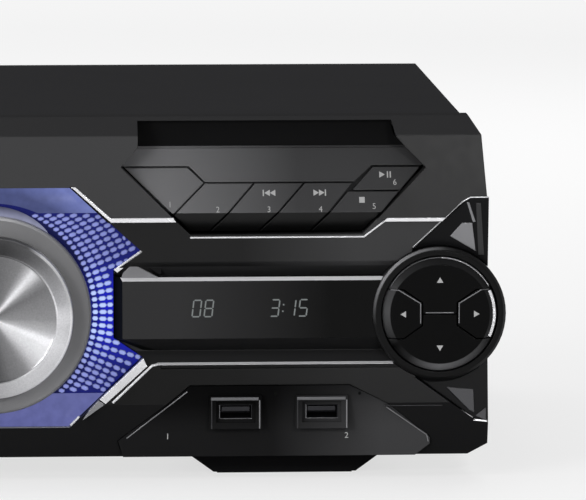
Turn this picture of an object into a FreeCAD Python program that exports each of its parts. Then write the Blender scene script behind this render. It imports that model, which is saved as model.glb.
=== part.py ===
import FreeCAD, Part
import math
import os
import Sketcher
from FreeCAD import Vector

# Console of a mini hi-fi system, in millimetres.
# X runs to the right, Y to the rear, Z up. The origin lies under the middle of the
# console's box, on the surface that the feet stand on, and the front faces -Y.
# "Front plane" is the plane of the front moulding's back; "proud" means in front of it.

SIZES = {
    # Cabinet
    "cabinet_depth": 250, "cover_step": 4.2, "sheet_thickness": 1.2,
    "corner_bevel_width": 6, "foot_height": 9.5, "cover_lift": 1.5,
    "chassis_flange": 10, "rear_plate_thickness": 2,
    "dial_reach": 22, "socket_reach": 8,
    # Front moulding: its width, its rim and the heights of its faces from the bottom up
    "panel_width": 396.4, "panel_rim_depth": 12, "panel_rim": 3, "panel_roof": 4,
    "facet_height": 22, "lower_face_height": 15.9, "lower_slope_height": 4.3,
    "channel_height": 30.3, "upper_slope_height": 6.2, "band_height": 17,
    "upper_face_height": 33.1, "bevel_height": 7.2,
    # How far each edge of the front moulding stands proud of the front plane
    "foot_edge_proud": 4, "crease_proud": 12, "lower_edge_proud": 10,
    "channel_proud": 2, "band_proud": 8, "ledge_proud": 10, "shoulder_proud": 6,
    "top_setback": 2, "panel_taper": 2.9, "panel_top_inset": 7.6,
    "panel_foot_inset": 7.9, "panel_foot_rise": 4.5,
    "pocket_wall": 3, "boss_radius": 3.2, "boss_height": 3,
    # Running and seating clearances
    "fit": 0.2, "key_gap": 0.35, "overrun": 1, "running_gap": 0.3,
    # Bright strips
    "strip_width": 1.8, "strip_proud": 0.5, "strip_bed": 1, "strip_start": 7.2,
    "strip_end": 18,
    # Round dial with its lens, board and encoder
    "dial_height": 57.7, "skirt_radius": 39.6, "skirt_gap": 0.5, "skirt_thickness": 5.5,
    "cap_radius": 32.2, "cap_face_radius": 26, "cap_rim_drop": 3.5, "cap_dish": 0.8,
    "skirt_round": 0.6, "skirt_lean": 1, "skirt_step_share": 0.55, "cap_seat_round": 0.8,
    "shaft_radius": 3, "lens_width": 119.4, "lens_height": 96, "lens_drop": 45.3,
    "lens_floor": 1.5, "lens_thickness": 2.7, "encoder_side": 14, "encoder_depth": 7,
    "shaft_hole_radius": 7.8,
    # Windows left and right of the dial
    "window_inner_end": 48.9, "window_pad_reach": 17.5, "window_front_proud": 9,
    "window_fit": 0.3, "window_top_bevel": 1.5, "window_toe": 2, "window_slant": 15,
    "window_foot_bevel_height": 5.3, "display_margin": 14, "display_height": 17,
    "display_inset": 12,
    # Front circuit board
    "board_thickness": 1.6, "front_board_side_gap": 1.8, "front_board_height": 34,
    # Sampler deck with its six keys
    "deck_left": 51.7, "deck_inset": 25.5, "deck_height": 44.4, "deck_drop": 5.9,
    "deck_brow": 11.4, "deck_back": 6, "deck_lip_proud": 9, "deck_lip_rise": 8.7,
    "deck_chin_proud": 3.5, "deck_thickness": 6.5, "deck_wall": 3, "deck_wall_back": 11,
    "key_thickness": 3, "key_travel": 1, "key_clearance": 0.4,
    # Round key pads at both ends of the front
    "pad_inset": 19.8, "pad_radius": 26.6, "pad_base_proud": 9, "pad_floor_proud": 2.5,
    "pad_well_radius": 23.25, "pad_ring_rise": 3, "pad_ring_round": 1.2,
    "pad_key_radius": 22.9, "pad_key_back": 4, "pad_key_proud": 13.5,
    "pad_key_bevel": 3, "pad_key_dish": 1.2, "pad_key_split": 0.5, "side_key_reach": 7.2,
    "side_key_height": 19.2, "side_key_nose": 8.8, "side_key_shoulder": 14.6,
    # Corner inserts above and below the pads
    "wing_width": 31.2, "wing_height": 27.6, "wing_drop": 8.4,
    "wing_floor_proud": 3, "wing_low_proud": 5, "wing_high_proud": 9,
    "lower_wing_height": 27, "lower_wing_rise": 13.5,
    # Socket bays low on the front
    "bay_left": 50, "bay_inset": 23.3, "bay_height": 29.2,
    "bay_floor_proud": 5, "bay_top_proud": 12, "bay_foot_proud": 6,
    # USB sockets
    "usb_place_share": 0.5128, "usb_pitch": 34.3, "usb_height": 25.5, "usb_frame_width": 20.8,
    "usb_frame_height": 13.5, "usb_frame_rim": 2.6, "usb_frame_proud": 13,
    "usb_recess": 1.4, "usb_width": 12.5, "usb_opening": 5.12, "usb_shell": 0.32,
    "usb_depth": 14, "usb_tongue_width": 11.1, "usb_tongue": 1.84, "usb_set_back": 2,
    "usb_tongue_gap": 0.64,
    # Microphone sockets and their level knob
    "mic_place_share": 0.2642, "mic_pitch_share": 0.2242, "mic_height": 24.5, "jack_bore": 6.35,
    "jack_nut_radius": 6.5, "jack_nut_rise": 1.5, "jack_body_radius": 7.5,
    "jack_body_depth": 22, "level_knob_radius": 8, "level_knob_reach": 8,
    "level_shaft_radius": 3, "level_pointer": 1, "level_pot_side": 16, "level_pot_depth": 7,
    "level_draft_share": 0.94, "level_crown_share": 0.82, "level_pointer_share": 0.8,
    # Disc drawer
    "drawer_inner_end": 52, "drawer_inset": 12.2, "drawer_height": 22, "drawer_drop": 4.8,
    "drawer_front_thickness": 3, "tray_side_gap": 3, "tray_length": 146,
    "tray_thickness": 5, "tray_base_drop": 10, "disc_well_margin": 3.5,
    "disc_well_depth": 3, "disc_setback": 64, "tray_slot_width": 46, "tray_slot_lead": 22,
    # Loader under and over the drawer
    "loader_length": 190, "loader_rail": 4, "loader_setback": 6, "loader_floor": 2.5,
    "loader_drop": 7.5, "tray_gap": 0.4, "tray_rail_ledge": 4, "loader_window_side": 18,
    "loader_window_length": 122, "loader_window_lead": 31, "post_radius": 4,
    "post_inset": 5, "post_setback": 12, "bridge_length": 44, "bridge_thickness": 2,
    "bridge_rise": 3,
    "bridge_bore": 16, "puck_radius": 15, "puck_drop": 2, "puck_lip_radius": 19,
    "puck_lip": 1.2, "turntable_radius": 14, "turntable_thickness": 3.5,
    "turntable_rise": 0.5, "turntable_hub_radius": 7.3, "turntable_hub_rise": 1.8,
    "spindle_radius": 1, "spindle_clearance": 3, "spindle_motor_radius": 11,
    "spindle_motor_depth": 8,
    "traverse_gap": 4, "traverse_length": 108, "traverse_lead": 24,
    "pickup_gap_share": 0.5, "pickup_gap_length": 62, "pickup_gap_lead": 15,
    "guide_radius": 1.5, "guide_inset": 4, "guide_seat": 3, "guide_seat_half": 2.4,
    "sled_length": 22, "sled_height": 5, "sled_start": 22, "sled_nut_half": 3.6,
    "pickup_lens_radius": 4, "pickup_lens_rise": 1.2, "screw_radius": 1.2,
    "screw_height": 4, "pivot_radius": 1, "pivot_inset": 4,
    "gear_radius": 5.5, "gear_thickness": 3, "gear_lift": 2, "gear_post_radius": 1.5,
    "gear_setback": 14, "rack_width": 2, "rack_depth": 4, "rack_inset": 18,
    "pinion_radius": 3, "motor_shaft_radius": 1, "motor_shaft_hole": 2, "loader_motor_radius": 5,
    "loader_motor_depth": 18,
    # Electronics
    "standoff_height": 8, "standoff_radius": 3, "main_board_gap": 28,
    "main_board_sink_gap": 18, "main_board_length": 150, "main_board_setback": 66,
    "board_hole_inset": 7, "power_board_width": 100, "power_board_length": 90,
    "power_board_inset": 76, "power_board_setback": 62, "transformer_width": 56,
    "transformer_depth": 46, "transformer_height": 42, "core_share": 0.6,
    "winding_share": 0.64, "winding_low_share": 0.17, "winding_high_share": 0.83,
    "sink_width": 40, "sink_length": 120, "sink_height": 62, "sink_base": 6, "sink_fin": 2,
    "sink_fin_count": 6, "sink_inset": 48, "sink_setback": 70,
    # Fan
    "fan_side": 70, "fan_depth": 15, "fan_bore_radius": 32.5, "fan_x": 82,
    "fan_height": 84, "fan_hub_radius": 14, "fan_blade_count": 7,
    "fan_blade_thickness": 1.5, "fan_blade_depth": 7.5, "fan_blade_lead": 3,
    "fan_blade_root": 7, "fan_tip_gap": 1.5, "fan_rib": 5, "fan_strut": 3,
    "fan_axle_radius": 2, "grille_slot": 4, "grille_web": 3,
    # Rear sockets
    "phono_radius": 4.1, "phono_hole": 1.7, "phono_pitch": 18, "phono_x": 20,
    "phono_height": 104, "phono_plate": 2, "phono_plate_side": 7, "phono_plate_rise": 7.4,
    "socket_floor": 0.5, "speaker_x": 60, "speaker_plate_width": 15, "speaker_height": 26,
    "speaker_low": 30, "speaker_pitch": 16, "speaker_radius": 5, "speaker_hole": 5.5,
    "speaker_reach": 6, "aerial_radius": 4.75,
    "aerial_bore": 1.2, "aerial_x": 30, "inlet_width": 24, "inlet_height": 16,
    "inlet_depth": 12, "inlet_inset": 44, "inlet_low": 24, "inlet_recess_width": 14.2,
    "inlet_recess_height": 8.2, "inlet_recess_depth": 10, "inlet_pin": 2.4,
    "inlet_pin_pitch": 8.6,
    # Feet and screws
    "foot_place_share": 0.5933, "foot_top_width": 82, "foot_base_width": 57.4,
    "foot_depth": 40, "foot_setback": 8, "front_foot_setback": 3, "foot_pad": 0.6,
    "foot_pad_margin": 1.5,
    "screw_head_radius": 3.4, "screw_head": 1.6, "side_screw_height": 30,
    "side_screw_setback": 60, "side_screw_pitch": 130,
}

FAN_BLADE_TILT = 30
SHARE_DIGITS = 6

# Outlines seen from the front, as shares of each region's width and height.
LENS_SHARES = ((0.755, 0), (1, 0.289), (0.905, 0.369), (0.905, 0.65), (1, 0.732), (0.76, 1))
DECK_SHARES = ((0.226, 0), (0.794, 0), (1, 0.59), (0.936, 0.764), (0.905, 0.86), (0.891, 1),
               (0.056, 1), (0.056, 0.775), (0, 0.604))
SAMPLER_KEY_SHARES = (
    ((0.007, 0.583), (0.221, 0.583), (0.275, 0.448), (0.169, 0.173)),
    ((0.275, 0.448), (0.44, 0.448), (0.288, 0.007), (0.226, 0.007), (0.169, 0.173)),
    ((0.44, 0.448), (0.605, 0.448), (0.45, 0.007), (0.288, 0.007)),
    ((0.605, 0.448), (0.768, 0.448), (0.621, 0.007), (0.45, 0.007)),
    ((0.746, 0.374), (0.921, 0.374), (0.794, 0.007), (0.621, 0.007)),
    ((0.831, 0.583), (0.994, 0.583), (0.921, 0.374), (0.757, 0.374)),
)
KEY_WELL_SHARES = ((0.226, -0.1), (0.794, -0.1), (1.1, 0.69), (1, 0.592), (0.829, 0.592),
                   (0.77, 0.455), (0.277, 0.455), (0.224, 0.592), (0, 0.592), (-0.1, 0.69))
BAY_SHARES = ((0, 0.229), (0.016, 0), (0.953, 0), (1, 0.16), (1, 0.247), (0.863, 0.743),
              (0.74, 1), (0.23, 1))
UPPER_WING_SHARES = ((0.026, 0.257), (0.677, 0.928), (0.774, 1), (1, 1), (1, -0.217),
                     (0.026, -0.217))
LOWER_WING_SHARES = ((0.065, 0.685), (0.839, 0.041), (1, 0), (1, 1), (0.065, 1))


class Length:
    """A size in millimetres together with the formula that ties it to the sheet."""

    def __init__(self, value, formula):
        self.value = value
        self.formula = formula

    @staticmethod
    def of(other):
        return other if isinstance(other, Length) else Length(float(other), repr(other))

    def joined(self, sign, other, value):
        return Length(value, f"({self.formula} {sign} {other.formula})")

    def __add__(self, other):
        other = Length.of(other)
        return self.joined("+", other, self.value + other.value)

    def __sub__(self, other):
        other = Length.of(other)
        return self.joined("-", other, self.value - other.value)

    def __mul__(self, share):
        share = Length.of(share)
        return self.joined("*", share, self.value * share.value)

    def __truediv__(self, share):
        share = Length.of(share)
        return self.joined("/", share, self.value / share.value)

    __rmul__ = __mul__

    def __radd__(self, other):
        return Length.of(other) + self

    def __rsub__(self, other):
        return Length.of(other) - self

    def __neg__(self):
        return Length(-self.value, f"(0 - {self.formula})")


class Sheet:
    """The spreadsheet of driving sizes; each size is an attribute that gives a Length."""

    def __init__(self, document, sizes):
        self.cells = document.addObject("Spreadsheet::Sheet", "Sizes")
        for row, (name, value) in enumerate(sizes.items(), start=1):
            self.cells.set(f"A{row}", name)
            self.cells.set(f"B{row}", str(value))
            self.cells.setAlias(f"B{row}", name)
        document.recompute()
        self.values = sizes

    def __getattr__(self, name):
        return Length(float(self.values[name]), f"Sizes.{name}")


document = FreeCAD.newDocument("mini_hifi_console")
size = Sheet(document, SIZES)
nodes = {}


def bind(target, path, length):
    """Ties one property of an object to the sheet."""
    length = Length.of(length)
    target.setExpression(path, length.formula)


def place(target, x=0, y=0, z=0):
    for axis, length in zip("xyz", (x, y, z)):
        bind(target, f"Placement.Base.{axis}", length)
    return target


def origin_plane(body, role):
    return next(item for item in body.Origin.OriginFeatures if item.Role == role)


PLANES = {"X": "YZ_Plane", "Y": "XZ_Plane", "Z": "XY_Plane"}


def sketched(body, axis, outline, offset):
    """A closed sketch of straight edges whose every corner is tied to the sheet."""
    sketch = body.newObject("Sketcher::SketchObject", body.Name + "_outline")
    sketch.AttachmentSupport = [(origin_plane(body, PLANES[axis]), "")]
    sketch.MapMode = "FlatFace"
    bind(sketch, "AttachmentOffset.Base.z", offset)
    corners = [(Length.of(u), Length.of(v)) for u, v in outline]
    count = len(corners)
    points = [Vector(u.value, v.value, 0) for u, v in corners]
    sketch.addGeometry([Part.LineSegment(points[i], points[(i + 1) % count])
                        for i in range(count)])
    sketch.addConstraint([Sketcher.Constraint("Coincident", i, 2, (i + 1) % count, 1)
                          for i in range(count)])
    for i, corner in enumerate(corners):
        for kind, length in zip(("DistanceX", "DistanceY"), corner):
            index = sketch.addConstraint(Sketcher.Constraint(kind, -1, 1, i, 1, length.value))
            sketch.setExpression(f"Constraints[{index}]", length.formula)
    sketch.Visibility = False
    return sketch


def prism(label, axis, outline, low, high):
    """A straight bar of the outlined section from low to high along one axis."""
    low, high = Length.of(low), Length.of(high)
    body = document.addObject("PartDesign::Body", label)
    body.Label = label
    sketch = sketched(body, axis, outline, -high if axis == "Y" else low)
    pad = body.newObject("PartDesign::Pad", label + "_pad")
    pad.Profile = sketch
    bind(pad, "Length", high - low)
    body.Tip = pad
    return body


def turned(label, axis, profile, x=0, y=0, z=0):
    """A turned piece: radius and place along the axis for each corner of its half section."""
    body = document.addObject("PartDesign::Body", label)
    body.Label = label
    plane, along = {"Y": ("Z", "V_Axis"), "Z": ("Y", "V_Axis")}[axis]
    sketch = sketched(body, plane, profile, 0)
    spin = body.newObject("PartDesign::Revolution", label + "_turn")
    spin.Profile = sketch
    spin.ReferenceAxis = (sketch, [along])
    spin.Angle = 360
    body.Tip = spin
    return place(body, x, y, z)


def block(label, x, y, z):
    """A box between two places on each axis."""
    box = document.addObject("Part::Box", label)
    box.Label = label
    for name, (low, high) in zip(("Length", "Width", "Height"), (x, y, z)):
        bind(box, name, Length.of(high) - low)
    return place(box, x[0], y[0], z[0])


TURNS = {"X": FreeCAD.Rotation(Vector(0, 1, 0), 90), "Y": FreeCAD.Rotation(Vector(1, 0, 0), -90),
         "Z": FreeCAD.Rotation()}


def rod(label, axis, radius, centre, low, high):
    """A round bar along one axis; centre gives its place on the two other axes."""
    bar = document.addObject("Part::Cylinder", label)
    bar.Label = label
    bind(bar, "Radius", radius)
    bind(bar, "Height", Length.of(high) - low)
    bar.Placement = FreeCAD.Placement(Vector(), TURNS[axis])
    spot = list(centre)
    spot.insert("XYZ".index(axis), low)
    return place(bar, *spot)


def cut(label, base, *tools):
    """The base with the tools taken away."""
    result = document.addObject("Part::Cut", label)
    result.Label = label
    result.Base = base
    result.Tool = tools[0] if len(tools) == 1 else fuse(label + "_tools", *tools)
    result.Refine = True
    return result


def fuse(label, *shapes):
    result = document.addObject("Part::MultiFuse", label)
    result.Label = label
    result.Shapes = list(shapes)
    result.Refine = True
    return result


def common(label, first, second):
    result = document.addObject("Part::Common", label)
    result.Label = label
    result.Base = first
    result.Tool = second
    result.Refine = True
    return result


def group(label, *shapes):
    """Separate solids of one kind under one name."""
    result = document.addObject("Part::Compound", label)
    result.Label = label
    result.Links = list(shapes)
    return result


def mirrored(label, source):
    """The same piece on the other side of the middle plane."""
    result = document.addObject("Part::Mirroring", label)
    result.Label = label
    result.Source = source
    result.Normal = Vector(1, 0, 0)
    return result


def pair(label, piece):
    return group(label, piece, mirrored(label + "_left", piece))


def outline_at(shares, x, width, z, height):
    """Places an outline of shares in its region."""
    return [(x + width * across, z + height * up) for across, up in shares]


def grown(outline, amount):
    """The outline with every edge moved outwards by the amount, mitred at the corners."""
    count = len(outline)
    flat = [(Length.of(u).value, Length.of(v).value) for u, v in outline]
    area = sum(flat[i][0] * flat[(i + 1) % count][1] - flat[(i + 1) % count][0] * flat[i][1]
               for i in range(count))
    turn = 1 if area > 0 else -1
    result = []
    for i, (u, v) in enumerate(outline):
        normals = []
        for first, second in ((i - 1, i), (i, (i + 1) % count)):
            du = flat[second][0] - flat[first][0]
            dv = flat[second][1] - flat[first][1]
            length = math.hypot(du, dv)
            normals.append((turn * dv / length, -turn * du / length))
        scale = 1 + normals[0][0] * normals[1][0] + normals[0][1] * normals[1][1]
        shift = [round((normals[0][k] + normals[1][k]) / scale, SHARE_DIGITS) for k in (0, 1)]
        result.append((u + amount * shift[0], v + amount * shift[1]))
    return result


def node(name, shape):
    """Names a finished sub-part."""
    shape.Label = name
    nodes[name] = shape
    return shape


# Places that several pieces share
front = size.dial_reach - (size.cabinet_depth + size.dial_reach + size.socket_reach) / 2
back = front + size.cabinet_depth
base = size.foot_height
crease = base + size.facet_height
lower_edge = crease + size.lower_face_height
channel_low = lower_edge + size.lower_slope_height
channel_high = channel_low + size.channel_height
band_low = channel_high + size.upper_slope_height
ledge = band_low + size.band_height
shoulder = ledge + size.upper_face_height
top = shoulder + size.bevel_height
dial_z = base + size.dial_height
panel_half = size.panel_width / 2
cover_half = panel_half - size.cover_step
pad_centre = panel_half - size.pad_inset
wing_left = panel_half - size.wing_width
deck_width = panel_half - size.deck_inset - size.deck_left
bay_width = panel_half - size.bay_inset - size.bay_left
usb_middle = size.bay_left + bay_width * size.usb_place_share
mic_first = size.bay_left + bay_width * size.mic_place_share
mic_pitch = bay_width * size.mic_pitch_share
window_length = pad_centre - size.window_pad_reach - size.window_inner_end
display_length = window_length - size.display_inset - size.display_margin
front_board_half = pad_centre - size.pad_radius - size.front_board_side_gap
drawer_width = panel_half - size.drawer_inset - size.drawer_inner_end
drawer_centre = size.drawer_inner_end + drawer_width / 2
tray_width = drawer_width - size.tray_side_gap * 2
loader_window_width = tray_width - size.loader_window_side * 2
traverse_half = loader_window_width / 2 - size.traverse_gap
guide_half = traverse_half * size.pickup_gap_share - size.guide_inset
plate_front = back - size.rear_plate_thickness
clear_front = front - size.crease_proud - size.overrun
deck_low = ledge - size.deck_drop
drawer_top = shoulder - size.drawer_drop
drawer_low = drawer_top - size.drawer_height


def both_sides(right_half):
    """A symmetric outline from its right half, given from the bottom up."""
    return right_half + [(-x, z) for x, z in reversed(right_half)]


def lens_outline():
    half = size.lens_width / 2
    return both_sides(outline_at(LENS_SHARES, -half, size.lens_width,
                                 dial_z - size.lens_drop, size.lens_height))


def deck_outline():
    return outline_at(DECK_SHARES, size.deck_left, deck_width, deck_low,
                      size.deck_height)


def bay_outline():
    return outline_at(BAY_SHARES, size.bay_left, bay_width, base, size.bay_height)


def wing_outlines():
    upper = outline_at(UPPER_WING_SHARES, wing_left, size.wing_width,
                       ledge + size.wing_drop - size.wing_height, size.wing_height)
    lower = outline_at(LOWER_WING_SHARES, wing_left, size.wing_width,
                       base + size.lower_wing_rise, size.lower_wing_height)
    return upper, lower


def front_profile():
    """The section of the front moulding, from its foot up to its top edge."""
    return [(front - size.foot_edge_proud, base), (front - size.crease_proud, crease),
            (front - size.lower_edge_proud, lower_edge),
            (front - size.channel_proud, channel_low),
            (front - size.channel_proud, channel_high),
            (front - size.band_proud, band_low), (front - size.band_proud, ledge),
            (front - size.ledge_proud, ledge), (front - size.shoulder_proud, shoulder),
            (front + size.top_setback, top)]


def pad_cylinder(label, radius, low, high):
    """A round bar on the middle line of the right key pad."""
    return rod(label, "Y", radius, (pad_centre, dial_z), low, high)


def usb_places():
    return [usb_middle - size.usb_pitch / 2, usb_middle + size.usb_pitch / 2]


def mic_places():
    return [-mic_first, -mic_first - mic_pitch]


level_x = -mic_first - mic_pitch * 2
usb_z = base + size.usb_height - size.usb_frame_height / 2
mic_z = base + size.mic_height - size.jack_body_radius


def front_openings():
    """Everything that is cut out of the front moulding, as separate tools."""
    rear = front + size.panel_rim_depth + size.overrun
    inner = panel_half - size.panel_top_inset
    tools = [block("rim_hollow", (-inner, inner), (front, rear),
                   (base + size.panel_rim, top - size.panel_roof))]
    tools.append(prism("lens_pocket", "Y", grown(lens_outline(), size.fit), clear_front,
                       front - size.lens_floor))
    drawer_half = drawer_width / 2 + size.fit
    tools.append(block("drawer_opening", (-drawer_centre - drawer_half,
                                          -drawer_centre + drawer_half),
                       (clear_front, rear), (drawer_low - size.fit, drawer_top + size.fit)))
    tools.append(prism("deck_opening", "Y", grown(deck_outline(), size.fit), clear_front,
                       rear))
    display_left = size.window_inner_end + size.display_inset
    display_half = size.display_height / 2 + size.fit
    tools.append(block("display_opening", (display_left - size.fit,
                                           display_left + display_length + size.fit),
                       (clear_front, rear), (dial_z - display_half, dial_z + display_half)))
    tools.append(rod("shaft_opening", "Y", size.shaft_hole_radius, (0, dial_z), clear_front,
                     rear))
    brow_left = -drawer_centre + drawer_width / 2
    tools.append(block("brow_hollow", (brow_left + size.pocket_wall,
                                       size.deck_left - size.pocket_wall),
                       (front - size.pocket_wall, front),
                       (dial_z - size.lens_drop + size.lens_height + size.pocket_wall,
                        top - size.panel_roof - size.pocket_wall)))
    right = [pad_cylinder("pad_opening", size.pad_radius + size.fit, clear_front, front),
             prism("bay_pocket", "Y", grown(bay_outline(), size.fit), clear_front,
                   front - size.bay_floor_proud)]
    for name, outline in zip(("upper", "lower"), wing_outlines()):
        right.append(prism(name + "_wing_pocket", "Y", grown(outline, size.fit), clear_front,
                           front - size.wing_floor_proud))
    for tool in right:
        tools += [tool, mirrored(tool.Label + "_left", tool)]
    half_width = size.usb_width / 2 + size.usb_shell + size.fit
    half_height = size.usb_opening / 2 + size.usb_shell + size.fit
    for count, x in enumerate(usb_places(), start=1):
        tools.append(block(f"usb_opening_{count}", (x - half_width, x + half_width),
                           (clear_front, rear), (usb_z - half_height, usb_z + half_height)))
    for count, x in enumerate(mic_places(), start=1):
        tools.append(rod(f"mic_opening_{count}", "Y", size.jack_body_radius + size.fit,
                         (x, mic_z), clear_front, rear))
    tools.append(rod("level_opening", "Y", size.level_shaft_radius + size.running_gap,
                     (level_x, mic_z), clear_front, rear))
    return tools


def make_front_panel():
    """The wide front moulding with its rim, its pockets and the board's bosses."""
    profile = front_profile() + [(front + size.panel_rim_depth, top),
                                 (front + size.panel_rim_depth, base)]
    solid = prism("panel_section", "X", profile, -panel_half, panel_half)
    face = both_sides([(panel_half - size.panel_foot_inset, base),
                       (panel_half, base + size.panel_foot_rise), (panel_half, ledge),
                       (panel_half - size.panel_taper, shoulder),
                       (panel_half - size.panel_top_inset, top)])
    blank = common("panel_blank", solid,
                   prism("panel_face", "Y", face, clear_front,
                         front + size.panel_rim_depth + size.overrun))
    opened = cut("panel_opened", blank, *front_openings(), *trim_beds())
    bosses = [rod(f"panel_boss_{number}", "Y", size.boss_radius, spot, front,
                  front + size.boss_height)
              for number, spot in enumerate(board_bosses(), start=1)]
    return node("front_panel", fuse("front_panel", opened, *bosses))


def board_bosses():
    across = front_board_half - size.board_hole_inset
    up = size.front_board_height / 2 - size.boss_radius
    return [(side * across, dial_z + level * up) for side in (-1, 1) for level in (-1, 1)]


def lower_strip(label, low, high):
    """The strip along the upper edge of the lower face, up to the key pad."""
    start = size.lens_width / 2 + size.strip_start
    strip = block(label + "_bar", (start, pad_centre), (low, high),
                  (lower_edge - size.strip_width, lower_edge))
    reach = pad_cylinder(label + "_pad", size.pad_radius + size.fit, clear_front, front)
    return cut(label, strip, reach)


def trim_beds():
    """Grooves for the lower strips."""
    bed = lower_strip("lower_strip_bed", clear_front,
                      front - size.lower_edge_proud + size.strip_bed)
    return [bed, mirrored("lower_strip_bed_left", bed)]


def make_trims():
    """Bright strips under the ledge, round the sampler deck and above the lower face."""
    low = front - size.ledge_proud - size.strip_proud
    high = front - size.band_proud
    under = (ledge - size.strip_width, ledge)
    start = size.lens_width / 2 - size.strip_start
    end = panel_half - size.strip_end
    bar = block("ledge_bar", (start, end), (low, high), under)
    apron = common("deck_apron",
                   prism("deck_apron_blank", "Y", grown(deck_outline(), size.strip_width),
                         low, high),
                   block("deck_apron_limit", (size.deck_left, size.deck_left + deck_width),
                         (low, high), (base, ledge)))
    rim = prism("deck_rim_clearance", "Y", grown(deck_outline(), size.fit),
                low - size.overrun, high + size.overrun)
    upper_right = cut("upper_strip_right", fuse("upper_strip_blank", bar, apron), rim)
    left_bar = block("ledge_bar_left", (-end, -start), (low, high), under)
    lower = lower_strip("lower_strip", front - size.lower_edge_proud - size.strip_proud,
                        front - size.lower_edge_proud + size.strip_bed)
    node("chrome_trims", group("chrome_trims", upper_right, left_bar, lower,
                               mirrored("lower_strip_left", lower)))


def make_lens():
    """The blue lens plate behind the dial, with the hole for the dial's shaft."""
    high = front - size.lens_floor
    plate = prism("lens_plate", "Y", lens_outline(), high - size.lens_thickness, high)
    bore = rod("lens_bore", "Y", size.shaft_hole_radius, (0, dial_z), clear_front, front)
    node("dial_lens", cut("dial_lens", plate, bore))


def make_dial():
    """Skirt, cap and shaft turn together in front of the lens; gives their encoder."""
    seat = -size.lens_floor - size.lens_thickness - size.skirt_gap
    step = seat - size.skirt_thickness
    lip = size.cap_radius - size.cap_seat_round
    skirt = [(size.shaft_radius, seat), (size.skirt_radius - size.skirt_round, seat),
             (size.skirt_radius, seat - size.skirt_gap),
             (size.skirt_radius - size.skirt_lean,
              seat - size.skirt_thickness * size.skirt_step_share),
             (size.cap_radius + size.fit, step), (size.shaft_radius, step)]
    node("dial_skirt", turned("dial_skirt", "Y", skirt, 0, front, dial_z))
    face = -size.dial_reach
    rim = face + size.cap_rim_drop
    cap = [(0, step), (lip, step), (size.cap_radius, step - size.skirt_gap),
           (size.cap_radius, rim), (size.cap_face_radius, face),
           (size.cap_face_radius - size.cap_dish, face + size.cap_dish), (0, face + size.cap_dish)]
    node("dial_cap", turned("dial_cap", "Y", cap, 0, front, dial_z))
    node("dial_shaft", rod("dial_shaft", "Y", size.shaft_radius, (0, dial_z), front + step,
                           front + size.boss_height + size.board_thickness
                           + size.encoder_depth - size.running_gap))
    rear = front + size.boss_height + size.board_thickness
    half = size.encoder_side / 2
    body = block("encoder_box", (-half, half), (rear, rear + size.encoder_depth),
                 (dial_z - half, dial_z + half))
    bore = rod("encoder_bore", "Y", size.shaft_radius + size.fit, (0, dial_z),
               rear - size.overrun, rear + size.encoder_depth + size.overrun)
    return cut("dial_encoder", body, bore)


def make_windows():
    """The black window bars left and right of the dial."""
    foot = channel_low + size.window_fit
    head = channel_high - size.window_fit
    rear = front - size.channel_proud
    face = front - size.window_front_proud
    chin = foot + size.window_foot_bevel_height
    section = [(rear, foot), (rear - size.window_fit, foot),
               (rear - size.window_toe, foot + size.window_fit), (face, chin),
               (face, head - size.window_top_bevel), (face + size.window_top_bevel, head),
               (rear, head)]
    inner = size.window_inner_end
    outer = inner + window_length
    shape = [(inner, chin), (inner + size.window_slant, foot), (outer, foot), (outer, head),
             (inner, head)]
    bar = common("window_bar", prism("window_section", "X", section, inner, outer),
                 prism("window_face", "Y", shape, clear_front, rear))
    right = cut("window_right", bar, pad_cylinder("window_pad", size.pad_radius + size.fit,
                                                  clear_front, front))
    node("front_windows", pair("front_windows", right))
    left = inner + size.display_inset
    half = size.display_height / 2
    node("display_tube", block("display_tube", (left, left + display_length),
                               (rear + size.running_gap, front + size.boss_height),
                               (dial_z - half, dial_z + half)))


def make_front_board():
    half = front_board_half
    rise = size.front_board_height / 2
    low = front + size.boss_height
    plate = block("front_board_plate", (-half, half), (low, low + size.board_thickness),
                  (dial_z - rise, dial_z + rise))
    bore = rod("front_board_bore", "Y", size.shaft_radius + size.running_gap, (0, dial_z),
               front, low + size.board_thickness + size.overrun)
    node("front_board", cut("front_board", plate, bore))


def deck_section(start, thickness):
    """A band along the sloping deck and its chin, start behind the face of the keys."""
    brow = deck_low + size.deck_height - size.deck_brow
    line = [(front + size.deck_back, brow), (front - size.deck_lip_proud,
                                             deck_low + size.deck_lip_rise),
            (front - size.deck_chin_proud, deck_low)]
    near = [(y + start, z) for y, z in line]
    far = [(y + start + thickness, z) for y, z in line]
    return near, far


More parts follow.
